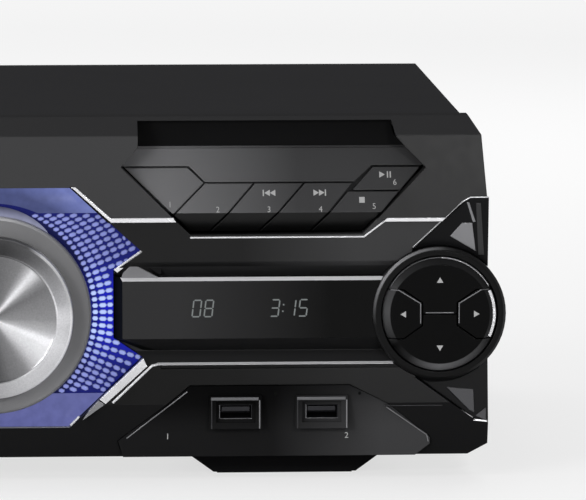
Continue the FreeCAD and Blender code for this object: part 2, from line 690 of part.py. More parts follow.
def make_sampler_deck():
    """The sloping deck in the upper right with a dark slot above it."""
    near, far = deck_section(0, size.deck_thickness)
    roof = deck_low + size.deck_height
    wall = front + size.deck_wall_back
    section = near + far[:0:-1] + [
        (wall, far[0][1] - size.deck_wall), (wall, roof), (wall - size.deck_wall, roof),
        (wall - size.deck_wall, near[0][1])]
    blank = common("deck_blank", prism("deck_section", "X", section, size.deck_left,
                                       size.deck_left + deck_width),
                   prism("deck_face", "Y", deck_outline(), clear_front, wall + size.overrun))
    pocket_depth = size.key_thickness + size.key_travel + size.key_clearance
    near, far = deck_section(-size.overrun, pocket_depth + size.overrun)
    well = common("key_well",
                  prism("key_well_section", "X", near + far[::-1], size.deck_left - size.overrun,
                        size.deck_left + deck_width + size.overrun),
                  prism("key_well_face", "Y",
                        outline_at(KEY_WELL_SHARES, size.deck_left, deck_width, deck_low,
                                   size.deck_height), clear_front, wall + size.overrun))
    node("sampler_deck", cut("sampler_deck", blank, well))
    for number, shares in enumerate(SAMPLER_KEY_SHARES, start=1):
        name = f"sampler_key_{number}"
        outline = outline_at(shares, size.deck_left, deck_width, deck_low,
                             size.deck_height)
        near, far = deck_section(0, size.key_thickness)
        band = prism(name + "_section", "X", near + far[::-1], size.deck_left,
                     size.deck_left + deck_width)
        face = prism(name + "_face", "Y", grown(outline, -size.key_gap), clear_front, wall)
        node(name, common(name, band, face))


def pad_key_blank(label):
    """The round block that the four keys of a pad are cut from, with a dished face."""
    face = -size.pad_key_proud
    profile = [(0, -size.pad_key_back), (size.pad_key_radius, -size.pad_key_back),
               (size.pad_key_radius, face + size.pad_key_bevel),
               (size.pad_key_radius - size.pad_key_bevel, face), (0, face + size.pad_key_dish)]
    return turned(label, "Y", profile, pad_centre, front, dial_z)


def side_key_outline(side, amount):
    """The nose-shaped outline of the key on one side of a pad."""
    half = size.side_key_height / 2
    reach = size.pad_key_radius + size.overrun
    points = [(reach, -half), (size.side_key_shoulder, -half),
              (size.side_key_reach, -size.side_key_nose / 2),
              (size.side_key_reach, size.side_key_nose / 2), (size.side_key_shoulder, half),
              (reach, half)]
    return [(pad_centre + u * side, dial_z + v) for u, v in grown(points, amount)]


def make_pads():
    """Base, ring and four keys at each end of the front."""
    profile = [(0, 0), (size.pad_radius, 0), (size.pad_radius, -size.pad_base_proud),
               (size.pad_well_radius, -size.pad_base_proud),
               (size.pad_well_radius, -size.pad_floor_proud), (0, -size.pad_floor_proud)]
    right_base = turned("pad_base_right", "Y", profile, pad_centre, front, dial_z)
    node("pad_bases", pair("pad_bases", right_base))
    crown = -size.pad_base_proud - size.pad_ring_rise
    profile = [(size.pad_well_radius, -size.pad_base_proud),
               (size.pad_radius, -size.pad_base_proud),
               (size.pad_radius, crown + size.pad_ring_round),
               (size.pad_radius - size.pad_ring_round, crown),
               (size.pad_well_radius + size.fit, crown), (size.pad_well_radius,
                                                          crown + size.pad_ring_round)]
    right_ring = turned("pad_ring_right", "Y", profile, pad_centre, front, dial_z)
    node("pad_rings", pair("pad_rings", right_ring))
    reach = size.pad_radius
    high = front + size.overrun
    for word, up in (("upper", 1), ("lower", -1)):
        blank = pad_key_blank(f"{word}_pad_blank")
        far = dial_z + reach * up
        near = dial_z + size.pad_key_split / 2 * up
        window = block(f"{word}_pad_half", (pad_centre - reach, pad_centre + reach),
                       (clear_front - size.pad_key_bevel, high),
                       (near, far) if up > 0 else (far, near))
        sides = [prism(f"{word}_pad_{name}", "Y", side_key_outline(side, size.pad_key_split),
                       clear_front - size.pad_key_bevel, high)
                 for name, side in (("outer", 1), ("inner", -1))]
        key = cut(f"right_pad_{word}_key", common(f"{word}_pad_arc", blank, window), *sides)
        node(f"right_pad_{word}_key", key)
        node(f"left_pad_{word}_key", mirrored(f"left_pad_{word}_key", key))
    for word, side in (("outer", 1), ("inner", -1)):
        blank = pad_key_blank(f"{word}_pad_side_blank")
        face = prism(f"{word}_pad_side", "Y", side_key_outline(side, 0),
                     clear_front - size.pad_key_bevel, high)
        key = common(f"right_pad_{word}_key", blank, face)
        node(f"right_pad_{word}_key", key)
        node(f"left_pad_{word}_key", mirrored(f"left_pad_{word}_key", key))


def make_wing_inserts():
    """Sloping corner pieces above and below both key pads."""
    upper, lower = wing_outlines()
    floor_y = front - size.wing_floor_proud
    low_y = front - size.wing_low_proud
    high_y = front - size.wing_high_proud
    pieces = []
    for name, outline, faces in (("upper_wing", upper, (low_y, high_y)),
                                 ("lower_wing", lower, (high_y, low_y))):
        heights = sorted((point[1] for point in outline), key=lambda length: length.value)
        z_low, z_high = heights[0], heights[-1]
        section = prism(name + "_section", "X",
                        [(floor_y, z_low), (faces[0], z_low), (faces[1], z_high),
                         (floor_y, z_high)], wing_left, wing_left + size.wing_width)
        body = common(name + "_body", section,
                      prism(name + "_face", "Y", outline, clear_front, floor_y))
        piece = cut(name, body, pad_cylinder(name + "_pad", size.pad_radius + size.fit,
                                             clear_front, front))
        pieces += [piece, mirrored(name + "_left", piece)]
    node("wing_inserts", group("wing_inserts", *pieces))


def bay_plate(name):
    """The raised plate of a socket bay, on its bed in the front moulding."""
    rear = front - size.bay_floor_proud
    section = [(rear, base), (front - size.bay_foot_proud, base),
               (front - size.bay_top_proud, base + size.bay_height),
               (rear, base + size.bay_height)]
    return common(name, prism(name + "_section", "X", section, size.bay_left,
                              size.bay_left + bay_width),
                  prism(name + "_face", "Y", bay_outline(), clear_front, rear))


def make_usb_bay():
    """The right bay with two framed USB sockets."""
    half_width = size.usb_frame_width / 2
    half_height = size.usb_frame_height / 2
    face = front - size.usb_frame_proud
    rear = front - size.bay_floor_proud
    frames = [block(f"usb_frame_{count}", (x - half_width, x + half_width), (face, rear),
                    (usb_z - half_height, usb_z + half_height))
              for count, x in enumerate(usb_places(), start=1)]
    plate = fuse("usb_bay_blank", bay_plate("usb_bay_plate"), *frames)
    inset = size.usb_frame_rim
    shell_width = size.usb_width / 2 + size.usb_shell
    shell_height = size.usb_opening / 2 + size.usb_shell
    tools = []
    sockets = []
    for count, x in enumerate(usb_places(), start=1):
        tools.append(block(f"usb_recess_{count}",
                           (x - half_width + inset, x + half_width - inset),
                           (face - size.overrun, face + size.usb_recess),
                           (usb_z - half_height + inset, usb_z + half_height - inset)))
        tools.append(block(f"usb_hole_{count}", (x - shell_width, x + shell_width),
                           (face - size.overrun, rear + size.overrun),
                           (usb_z - shell_height, usb_z + shell_height)))
        sockets.append(usb_socket(count, x, face + size.usb_set_back))
    node("usb_bay", cut("usb_bay", plate, *tools))
    node("usb_sockets", group("usb_sockets", *sockets))


def usb_socket(count, x, mouth):
    """A USB A socket: a metal shell with its tongue on the shell's back wall."""
    half_width = size.usb_width / 2
    half_height = size.usb_opening / 2
    wall = size.usb_shell
    end = mouth + size.usb_depth
    shell = block(f"usb_shell_{count}", (x - half_width - wall, x + half_width + wall),
                  (mouth, end), (usb_z - half_height - wall, usb_z + half_height + wall))
    hollow = block(f"usb_hollow_{count}", (x - half_width, x + half_width),
                   (mouth - size.overrun, end - size.overrun),
                   (usb_z - half_height, usb_z + half_height))
    tongue_half = size.usb_tongue_width / 2
    crown = usb_z + half_height - size.usb_tongue_gap
    tongue = block(f"usb_tongue_{count}", (x - tongue_half, x + tongue_half),
                   (mouth + size.overrun, end - size.overrun / 2),
                   (crown - size.usb_tongue, crown))
    return fuse(f"usb_socket_{count}", cut(f"usb_tube_{count}", shell, hollow), tongue)


def make_microphone_bay():
    """The left bay with two microphone sockets and a level knob; gives the knob's control."""
    plate = mirrored("mic_bay_plate", bay_plate("mic_bay_plate_right"))
    face = front - size.bay_top_proud
    rear = front - size.bay_floor_proud
    tools = [rod(f"mic_hole_{count}", "Y", size.jack_body_radius, (x, mic_z),
                 clear_front - size.overrun, rear + size.overrun)
             for count, x in enumerate(mic_places(), start=1)]
    tools.append(rod("level_hole", "Y", size.level_shaft_radius + size.running_gap,
                     (level_x, mic_z), clear_front - size.overrun, rear + size.overrun))
    node("mic_bay", cut("mic_bay", plate, *tools))
    jacks = []
    for count, x in enumerate(mic_places(), start=1):
        end = face + size.jack_body_depth
        body = rod(f"jack_body_{count}", "Y", size.jack_body_radius, (x, mic_z), face, end)
        nut = rod(f"jack_nut_{count}", "Y", size.jack_nut_radius, (x, mic_z),
                  face - size.jack_nut_rise, face)
        bore = rod(f"jack_bore_{count}", "Y", size.jack_bore / 2, (x, mic_z),
                   face - size.jack_nut_rise - size.overrun, end - size.overrun)
        jacks.append(cut(f"mic_jack_{count}", fuse(f"jack_blank_{count}", body, nut), bore))
    node("mic_jacks", group("mic_jacks", *jacks))
    seat = face - size.running_gap
    grip = turned("level_grip", "Y",
                  [(0, 0), (size.level_knob_radius, 0),
                   (size.level_knob_radius * size.level_draft_share,
                    size.overrun - size.level_knob_reach),
                   (size.level_knob_radius * size.level_crown_share, -size.level_knob_reach),
                   (0, -size.level_knob_reach)], level_x, seat, mic_z)
    pointer = block("level_pointer", (level_x - size.level_pointer / 2,
                                      level_x + size.level_pointer / 2),
                    (seat - size.level_knob_reach - size.level_pointer / 2,
                     seat - size.level_knob_reach + size.overrun),
                    (mic_z, mic_z + size.level_knob_radius * size.level_pointer_share))
    end = front + size.running_gap
    stem = rod("level_stem", "Y", size.level_shaft_radius, (level_x, mic_z), seat, end)
    node("mic_level_knob", fuse("mic_level_knob", grip, pointer, stem))
    half = size.level_pot_side / 2
    return block("level_control", (level_x - half, level_x + half),
                 (end + size.fit / 2, end + size.level_pot_depth), (mic_z - half, mic_z + half))


def make_cabinet():
    """Top cover, bottom chassis, rear plate, feet, foot pads and screws."""
    rim = front + size.panel_rim_depth
    bevel = size.corner_bevel_width
    wall = size.sheet_thickness
    outer = both_sides([(cover_half, base + size.cover_lift), (cover_half, shoulder),
                        (cover_half - bevel, top)])
    inner = both_sides([(cover_half - wall, base - size.overrun),
                        (cover_half - wall, shoulder - wall / 2),
                        (cover_half - bevel - wall / 2, top - wall)])
    node("top_cover", cut("top_cover", prism("cover_outside", "Y", outer, rim, plate_front),
                          prism("cover_inside", "Y", inner, rim - size.overrun,
                                plate_front + size.overrun)))
    floor_half = cover_half - wall
    tray = block("chassis_outside", (-floor_half, floor_half), (rim, plate_front),
                 (base, base + size.chassis_flange))
    hollow = block("chassis_inside", (-floor_half + wall, floor_half - wall),
                   (rim + wall, plate_front - wall),
                   (base + wall, base + size.chassis_flange + size.overrun))
    node("bottom_chassis", cut("bottom_chassis", tray, hollow))
    rear_outline = both_sides([(cover_half, base), (cover_half, shoulder),
                               (cover_half - bevel, top)])
    plate = prism("rear_blank", "Y", rear_outline, plate_front, back)
    node("rear_panel", cut("rear_panel", plate, *rear_openings()))
    make_feet()
    heads = []
    spots = [front + size.side_screw_setback + size.side_screw_pitch * step
             for step in range(2)]
    for count, y in enumerate(spots, start=1):
        head = rod(f"screw_{count}", "X", size.screw_head_radius,
                   (y, base + size.side_screw_height), cover_half,
                   cover_half + size.screw_head)
        heads += [head, mirrored(f"screw_{count}_left", head)]
    node("cover_screws", group("cover_screws", *heads))


def make_feet():
    """Two wide tapered feet in front, two behind, each on a rubber pad."""
    feet = []
    pads = []
    middle = panel_half * size.foot_place_share
    near = front + size.foot_setback
    far = back - size.foot_setback - size.foot_depth
    for word, start in (("front", near + size.front_foot_setback), ("rear", far)):
        half_top = size.foot_top_width / 2
        half_low = size.foot_base_width / 2
        shape = [(middle - half_low, size.foot_pad), (middle + half_low,
                                                           size.foot_pad),
                 (middle + half_top, base), (middle - half_top, base)]
        foot = prism(word + "_foot", "Y", shape, start, start + size.foot_depth)
        inset = size.foot_pad_margin
        pad = block(word + "_foot_pad",
                    (middle - half_low + inset, middle + half_low - inset),
                    (start + inset, start + size.foot_depth - inset), (0, size.foot_pad))
        feet += [foot, mirrored(word + "_foot_left", foot)]
        pads += [pad, mirrored(word + "_foot_pad_left", pad)]
    node("feet", group("feet", *feet))
    node("foot_pads", group("foot_pads", *pads))


inlet_x = cover_half - size.inlet_inset


def rear_openings():
    """Fan grille and the cut-out for the mains inlet in the rear plate."""
    low = plate_front - size.overrun
    high = back + size.overrun
    pitch = size.grille_slot + size.grille_web
    count = int(2 * size.fan_bore_radius.value / pitch.value)
    fan_z = size.fan_height
    slots = []
    for number in range(count):
        start = fan_z - pitch * (count / 2) + size.grille_web / 2 + pitch * number
        slots.append(block(f"grille_slot_{number + 1}",
                           (size.fan_x - size.fan_bore_radius,
                            size.fan_x + size.fan_bore_radius),
                           (low, high), (start, start + size.grille_slot)))
    ring = rod("grille_limit", "Y", size.fan_bore_radius, (size.fan_x, fan_z), low, high)
    grille = common("grille", ring, fuse("grille_slots", *slots))
    half = size.inlet_width / 2
    inlet = block("inlet_cutout", (inlet_x - half, inlet_x + half), (low, high),
                  (size.inlet_low, size.inlet_low + size.inlet_height))
    return [grille, inlet]


def make_rear_sockets():
    """Speaker terminals, two phono sockets, an aerial socket and the mains inlet."""
    half = size.speaker_plate_width / 2
    middle = size.speaker_low + size.speaker_height / 2
    terminals = []
    for number, step in enumerate((-1.5, -0.5, 0.5, 1.5), start=1):
        x = -size.speaker_x + size.speaker_pitch * step
        plate = block(f"speaker_plate_{number}", (x - half, x + half),
                      (back, back + size.phono_plate),
                      (size.speaker_low, size.speaker_low + size.speaker_height))
        post = rod(f"speaker_post_{number}", "Y", size.speaker_radius, (x, middle), back,
                   back + size.speaker_reach)
        hole = rod(f"speaker_hole_{number}", "Y", size.speaker_hole / 2, (x, middle),
                   back + size.socket_floor, back + size.socket_reach)
        terminals.append(cut(f"speaker_terminal_{number}",
                             fuse(f"speaker_blank_{number}", plate, post), hole))
    plate_half = size.phono_pitch / 2 + size.phono_plate_side
    rise = size.phono_plate_rise
    plate = block("phono_plate", (-size.phono_x - plate_half, -size.phono_x + plate_half),
                  (back, back + size.phono_plate),
                  (size.phono_height - rise, size.phono_height + rise))
    barrels = []
    bores = []
    for word, side in (("left", -1), ("right", 1)):
        x = -size.phono_x + size.phono_pitch / 2 * side
        barrels.append(rod(f"phono_barrel_{word}", "Y", size.phono_radius,
                           (x, size.phono_height), back, back + size.socket_reach))
        bores.append(rod(f"phono_bore_{word}", "Y", size.phono_hole, (x, size.phono_height),
                         back + size.socket_floor, back + size.socket_reach * 2))
    phono = cut("phono_sockets", fuse("phono_blank", plate, *barrels), *bores)
    aerial_x = size.aerial_x
    seat = block("aerial_plate", (aerial_x - rise, aerial_x + rise),
                 (back, back + size.phono_plate),
                 (size.phono_height - rise, size.phono_height + rise))
    barrel = rod("aerial_barrel", "Y", size.aerial_radius, (aerial_x, size.phono_height), back,
                 back + size.socket_reach - size.overrun)
    bore = rod("aerial_hole", "Y", size.aerial_bore, (aerial_x, size.phono_height),
               back + size.socket_floor, back + size.socket_reach * 2)
    aerial = cut("aerial_socket", fuse("aerial_blank", seat, barrel), bore)
    half = size.inlet_width / 2
    body = block("inlet_body", (inlet_x - half, inlet_x + half),
                 (back - size.inlet_depth, back + size.phono_plate),
                 (size.inlet_low, size.inlet_low + size.inlet_height))
    half = size.inlet_recess_width / 2
    middle = size.inlet_low + size.inlet_height / 2
    rise = size.inlet_recess_height / 2
    floor_y = back + size.phono_plate - size.inlet_recess_depth
    recess = block("inlet_recess", (inlet_x - half, inlet_x + half),
                   (floor_y, back + size.socket_reach), (middle - rise, middle + rise))
    pins = [rod(f"inlet_pin_{number}", "Y", size.inlet_pin / 2,
                (inlet_x + size.inlet_pin_pitch / 2 * side, middle),
                floor_y - size.overrun, back)
            for number, side in enumerate((-1, 1), start=1)]
    inlet = fuse("ac_inlet", cut("inlet_shell", body, recess), *pins)
    node("rear_sockets", group("rear_sockets", *terminals, phono, aerial, inlet))


def make_boards():
    """Main board and power board on standoffs, with transformer and heat sink."""
    floor_z = base + size.sheet_thickness
    board_z = floor_z + size.standoff_height
    inset = size.board_hole_inset
    standoffs = []
    power_centre = size.power_board_inset - cover_half
    power_left = power_centre - size.power_board_width / 2
    sink_left = cover_half - size.sink_inset
    left = power_left + size.power_board_width + size.main_board_gap
    main_width = sink_left - size.main_board_sink_gap - left
    main_y = front + size.main_board_setback
    power_y = front + size.power_board_setback
    regions = (("main_board", left, main_width, main_y, size.main_board_length),
               ("power_board", power_left, size.power_board_width, power_y,
                size.power_board_length))
    boards = []
    for name, x, width, y, length in regions:
        boards.append(block(name, (x, x + width), (y, y + length),
                            (board_z, board_z + size.board_thickness)))
        corners = [(x + inset, y + inset), (x + width - inset, y + inset),
                   (x + inset, y + length - inset), (x + width - inset, y + length - inset)]
        for number, corner in enumerate(corners, start=1):
            standoffs.append(rod(f"{name}_standoff_{number}", "Z", size.standoff_radius,
                                 corner, floor_z, board_z))
    node("circuit_boards", group("circuit_boards", *boards))
    half = size.transformer_width / 2
    seat = board_z + size.board_thickness
    middle = power_y + size.power_board_length / 2
    depth = size.transformer_depth / 2
    core_depth = depth * size.core_share
    core = block("transformer_core", (power_centre - half, power_centre + half),
                 (middle - core_depth, middle + core_depth),
                 (seat, seat + size.transformer_height))
    narrow = half * size.winding_share
    winding = block("transformer_winding", (power_centre - narrow, power_centre + narrow),
                    (middle - depth, middle + depth),
                    (seat + size.transformer_height * size.winding_low_share,
                     seat + size.transformer_height * size.winding_high_share))
    node("transformer", fuse("transformer", core, winding))
    x = sink_left
    y = front + size.sink_setback
    web = block("sink_web", (x, x + size.sink_base), (y, y + size.sink_length),
                (floor_z, floor_z + size.sink_height))
    fins = []
    pitch = (size.sink_height - size.sink_fin) / (SIZES["sink_fin_count"] - 1)
    for number in range(SIZES["sink_fin_count"]):
        z = floor_z + pitch * number
        fins.append(block(f"sink_fin_{number + 1}", (x, x + size.sink_width),
                          (y, y + size.sink_length), (z, z + size.sink_fin)))
    node("heat_sink", fuse("heat_sink", web, *fins))
    return standoffs


def make_fan():
    """Cooling fan on the rear plate: a square frame with ribs, and its rotor."""
    half = size.fan_side / 2
    x, z = size.fan_x, size.fan_height
    start = plate_front - size.fan_depth
    shell = cut("fan_shell", block("fan_block", (x - half, x + half), (start, plate_front),
                                   (z - half, z + half)),
                rod("fan_bore", "Y", size.fan_bore_radius, (x, z), start - size.overrun,
                    plate_front + size.overrun))
    rear = plate_front - size.fan_strut
    ribs = [block("fan_rib_across", (x - half, x + half), (rear, plate_front),
                  (z - size.fan_rib / 2, z + size.fan_rib / 2)),
            block("fan_rib_up", (x - size.fan_rib / 2, x + size.fan_rib / 2),
                  (rear, plate_front), (z - half, z + half))]
    axle = rod("fan_axle", "Y", size.fan_axle_radius, (x, z), start + size.overrun, rear)
    node("fan_frame", fuse("fan_frame", shell, *ribs, axle))
    hub = cut("fan_hub", rod("fan_hub_blank", "Y", size.fan_hub_radius, (x, z),
                             start + size.running_gap, rear - size.running_gap),
              rod("fan_hub_bore", "Y", size.fan_axle_radius + size.fit, (x, z),
                  start + size.overrun - size.running_gap, rear))
    blades = []
    reach = size.fan_bore_radius - size.fan_tip_gap
    count = SIZES["fan_blade_count"]
    for number in range(count):
        turn = 360 * number / count
        blade = block(f"fan_blade_{number + 1}", (0, reach - size.fan_blade_root),
                      (0, size.fan_blade_depth), (0, size.fan_blade_thickness))
        across = round(math.cos(math.radians(turn)), SHARE_DIGITS)
        up = round(math.sin(math.radians(turn)), SHARE_DIGITS)
        blade.Placement.Rotation = (FreeCAD.Rotation(Vector(0, -1, 0), turn)
                                    * FreeCAD.Rotation(Vector(1, 0, 0), FAN_BLADE_TILT))
        place(blade, x + size.fan_blade_root * across, start + size.fan_blade_lead,
              z + size.fan_blade_root * up)
        blades.append(blade)
    node("fan_rotor", fuse("fan_rotor", hub, *blades))


disc_x = -drawer_centre
disc_y = front + size.disc_setback
tray_low = drawer_top - size.tray_base_drop - size.tray_thickness
tray_top = tray_low + size.tray_thickness
loader_top = tray_low - size.loader_drop
loader_low = loader_top - size.loader_floor
tray_front_y = front - size.shoulder_proud + size.drawer_front_thickness
gear_x = disc_x + tray_width / 2 - size.rack_inset + size.rack_width + size.gear_radius
gear_y = front + size.gear_setback


def make_drawer():
    """Disc tray with its round well, its slot and rack, and the drawer front."""
    half = tray_width / 2
    end = tray_front_y + size.tray_length
    plate = block("tray_plate", (disc_x - half, disc_x + half), (tray_front_y, end),
                  (tray_low, tray_top))
    rack_left = disc_x + half - size.rack_inset
    rack = block("tray_rack", (rack_left, rack_left + size.rack_width - size.running_gap),
                 (tray_front_y, end), (tray_low - size.rack_depth, tray_low + size.overrun))
    well = rod("disc_well", "Z", tray_width / 2 - size.disc_well_margin, (disc_x, disc_y),
               tray_top - size.disc_well_depth, tray_top + size.overrun)
    slot_half = size.tray_slot_width / 2
    slot = block("tray_slot", (disc_x - slot_half, disc_x + slot_half),
                 (disc_y - size.tray_slot_lead, end + size.overrun),
                 (tray_low - size.overrun, tray_top + size.overrun))
    node("disc_tray", cut("disc_tray", fuse("tray_blank", plate, rack), well, slot))

    def proud(z):
        fall = size.ledge_proud - size.shoulder_proud
        return size.ledge_proud - fall * ((z - ledge) / size.upper_face_height)

    section = [(front - proud(drawer_low), drawer_low), (front - proud(drawer_top), drawer_top),
               (tray_front_y, drawer_top), (tray_front_y, drawer_low)]
    half = drawer_width / 2
    node("tray_front", prism("tray_front", "X", section, disc_x - half, disc_x + half))


def make_loader():
    """The fixed loader frame with its rails, the bridge over the disc and the posts."""
    half = tray_width / 2 + size.tray_gap + size.loader_rail
    near = front + size.loader_setback
    far = near + size.loader_length
    rail_top = tray_top + size.bridge_rise
    parts = [block("loader_plate", (disc_x - half, disc_x + half), (near, far),
                   (loader_low, loader_top))]
    inner = tray_width / 2 + size.tray_gap
    for word, side in (("left", -1), ("right", 1)):
        wall = sorted((disc_x + half * side, disc_x + inner * side),
                      key=lambda length: length.value)
        shelf = sorted((disc_x + half * side, disc_x + (inner - size.tray_rail_ledge) * side),
                       key=lambda length: length.value)
        parts.append(block(f"loader_rail_{word}", wall, (near, far), (loader_low, rail_top)))
        parts.append(block(f"loader_shelf_{word}", shelf, (near, far),
                           (loader_low, tray_low - size.running_gap)))
    post_top = loader_top + size.gear_lift + size.gear_thickness + size.fit
    parts.append(rod("gear_post", "Z", size.gear_post_radius, (gear_x, gear_y), loader_low,
                     post_top))
    window_half = loader_window_width / 2
    window_y = disc_y - size.loader_window_lead
    window = block("loader_window", (disc_x - window_half, disc_x + window_half),
                   (window_y, window_y + size.loader_window_length),
                   (loader_low - size.overrun, loader_top + size.overrun))
    shaft_hole = rod("loader_shaft_hole", "Z", size.motor_shaft_hole, motor_spot(),
                     loader_low - size.overrun, loader_top + size.overrun)
    node("loader_frame", cut("loader_frame", fuse("loader_blank", *parts), window, shaft_hole))
    span = size.bridge_length / 2
    bridge = cut("bridge_plate",
                 block("bridge_blank", (disc_x - half, disc_x + half),
                       (disc_y - span, disc_y + span),
                       (rail_top, rail_top + size.bridge_thickness)),
                 rod("bridge_hole", "Z", size.bridge_bore, (disc_x, disc_y),
                     rail_top - size.overrun, rail_top + size.bridge_thickness + size.overrun))
    node("clamp_bridge", bridge)
    bridge_top = rail_top + size.bridge_thickness
    puck = fuse("clamp_puck",
                rod("puck_body", "Z", size.puck_radius, (disc_x, disc_y),
                    rail_top - size.puck_drop, bridge_top + size.running_gap + size.puck_lip),
                rod("puck_lip", "Z", size.puck_lip_radius, (disc_x, disc_y),
                    bridge_top + size.running_gap,
                    bridge_top + size.running_gap + size.puck_lip))
    node("clamp_puck", puck)
    inset = size.post_inset
    floor_z = base + size.sheet_thickness
    return [rod(f"loader_post_{number}", "Z", size.post_radius, spot, floor_z, loader_low)
            for number, spot in enumerate(
                [(disc_x + (half - inset) * side, y) for side in (-1, 1)
                 for y in (near + size.post_setback, far - size.post_setback)], start=1)]


def motor_spot():
    return gear_x, gear_y + size.gear_radius + size.pinion_radius + size.running_gap


def make_loading_drive():
    """Gear on its post, and the motor with its pinion beside it."""
    low = loader_top + size.gear_lift
    high = low + size.gear_thickness
    gear = cut("loading_gear",
               rod("gear_blank", "Z", size.gear_radius, (gear_x, gear_y), low, high),
               rod("gear_bore", "Z", size.gear_post_radius + size.fit, (gear_x, gear_y),
                   low - size.overrun, high + size.overrun))
    node("loading_gear", gear)
    spot = motor_spot()
    node("loading_motor", rod("loading_motor", "Z", size.loader_motor_radius, spot,
                              loader_low - size.loader_motor_depth, loader_low))
    node("motor_pinion",
         fuse("motor_pinion", rod("pinion_blank", "Z", size.pinion_radius, spot, low, high),
              rod("pinion_shaft", "Z", size.motor_shaft_radius, spot,
                  loader_low + size.fit, high)))


def make_traverse():
    """The tilting deck with turntable, spindle motor, guide rods, sled and lead screw."""
    half = traverse_half
    near = disc_y - size.traverse_lead
    far = near + size.traverse_length
    plate = block("traverse_plate", (disc_x - half, disc_x + half), (near, far),
                  (loader_low, loader_top))
    gap_half = half * size.pickup_gap_share
    gap_y = disc_y + size.pickup_gap_lead
    gap_end = gap_y + size.pickup_gap_length
    gap = block("pickup_gap", (disc_x - gap_half, disc_x + gap_half), (gap_y, gap_end),
                (loader_low - size.overrun, loader_top + size.overrun))
    spindle_hole = rod("spindle_hole", "Z", size.spindle_clearance, (disc_x, disc_y),
                       loader_low - size.overrun, loader_top + size.overrun)
    reach = loader_window_width / 2 - size.running_gap
    pivot = rod("traverse_pivots", "X", size.pivot_radius,
                (far - size.pivot_inset, loader_low + size.loader_floor / 2), disc_x - reach,
                disc_x + reach)
    seats = []
    rod_z = loader_top + size.guide_radius + size.running_gap
    for word, y in (("front", gap_y - size.guide_seat), ("rear", gap_end)):
        for side_word, side in (("left", -1), ("right", 1)):
            x = disc_x + guide_half * side
            seats.append(block(f"guide_seat_{word}_{side_word}",
                               (x - size.guide_seat_half, x + size.guide_seat_half),
                               (y, y + size.guide_seat), (loader_low, rod_z)))
    blank = cut("traverse_blank", fuse("traverse_joined", plate, pivot, *seats), gap,
                spindle_hole)
    rods = [rod(f"guide_rod_{word}", "Y", size.guide_radius,
                (disc_x + guide_half * side, rod_z), gap_y - size.guide_seat,
                gap_end + size.guide_seat) for word, side in (("left", -1), ("right", 1))]
    node("traverse_deck", cut("traverse_deck", blank, fuse("guide_grooves", *rods)))
    node("guide_rods", group("guide_rods", *[
        rod(f"guide_bar_{word}", "Y", size.guide_radius,
            (disc_x + guide_half * side, rod_z), gap_y - size.guide_seat,
            gap_end + size.guide_seat) for word, side in (("left", -1), ("right", 1))]))
    node("spindle_motor", rod("spindle_motor", "Z", size.spindle_motor_radius,
                              (disc_x, disc_y), loader_low - size.spindle_motor_depth,
                              loader_low))
    disc_floor = tray_top - size.disc_well_depth + size.turntable_rise
    node("turntable",
         fuse("turntable",
              rod("turntable_plate", "Z", size.turntable_radius, (disc_x, disc_y),
                  disc_floor - size.turntable_thickness, disc_floor),
              rod("turntable_hub", "Z", size.turntable_hub_radius, (disc_x, disc_y),
                  disc_floor - size.overrun, disc_floor + size.turntable_hub_rise),
              rod("turntable_spindle", "Z", size.spindle_radius, (disc_x, disc_y),
                  loader_low + size.fit, disc_floor)))
    make_sled(gap_y, gap_end, rod_z)


def make_sled(gap_y, gap_end, rod_z):
    """Pickup sled on the guide rods, driven by a lead screw at its side."""
    start = disc_y + size.sled_start
    spread = guide_half + size.guide_radius + size.overrun
    low = rod_z - size.sled_height / 2
    body = block("sled_body", (disc_x - spread, disc_x + spread),
                 (start, start + size.sled_length), (low, low + size.sled_height))
    lens = rod("pickup_lens", "Z", size.pickup_lens_radius,
               (disc_x, start + size.sled_length / 2), low,
               low + size.sled_height + size.pickup_lens_rise)
    bores = [rod(f"sled_bore_{word}", "Y", size.guide_radius + size.fit,
                 (disc_x + guide_half * side, rod_z), gap_y, gap_end)
             for word, side in (("left", -1), ("right", 1))]
    screw_z = loader_low - size.screw_height
    bore = rod("sled_screw_bore", "Y", size.screw_radius + size.fit, (disc_x, screw_z), gap_y,
               gap_end)
    nut_half = size.sled_nut_half
    nut = block("sled_nut", (disc_x - nut_half, disc_x + nut_half),
                (start, start + size.sled_length / 2),
                (screw_z - nut_half, low + size.overrun))
    node("pickup_sled", cut("pickup_sled", fuse("sled_blank", body, lens, nut), *bores, bore))
    node("lead_screw", rod("lead_screw", "Y", size.screw_radius, (disc_x, screw_z),
                           disc_y + size.spindle_motor_radius + size.running_gap,
                           gap_end + size.guide_seat))


make_front_panel()
make_trims()
make_lens()
dial_encoder = make_dial()
make_windows()
make_front_board()
make_sampler_deck()
make_pads()
make_wing_inserts()
make_usb_bay()
node("front_controls", group("front_controls", dial_encoder, make_microphone_bay()))
make_cabinet()
make_rear_sockets()
make_drawer()
posts = make_loader()
make_loading_drive()
make_traverse()
node("standoffs", group("standoffs", *make_boards(), *posts))
make_fan()

document.recompute()
faults = [item.Label for item in document.Objects
          if {"Invalid", "Error"} & set(item.State)]
faults += [name for name, item in nodes.items()
           if item.Shape.isNull() or not item.Shape.isValid() or not item.Shape.Solids]
if faults:
    raise RuntimeError(f"These pieces failed: {faults}")
os.makedirs("parts", exist_ok=True)
for name, item in nodes.items():
    item.Shape.exportStep(os.path.join("parts", name + ".step"))
    print(f"{name}: {len(item.Shape.Solids)} solids, {item.Shape.Volume / 1000:.1f} cm3")
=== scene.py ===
"""Dresses the console of a mini hi-fi system and lights it as in a plain studio picture."""
from __future__ import annotations

import logging
import math
from dataclasses import dataclass
from enum import Enum
from typing import Callable, ClassVar, Iterable, Sequence

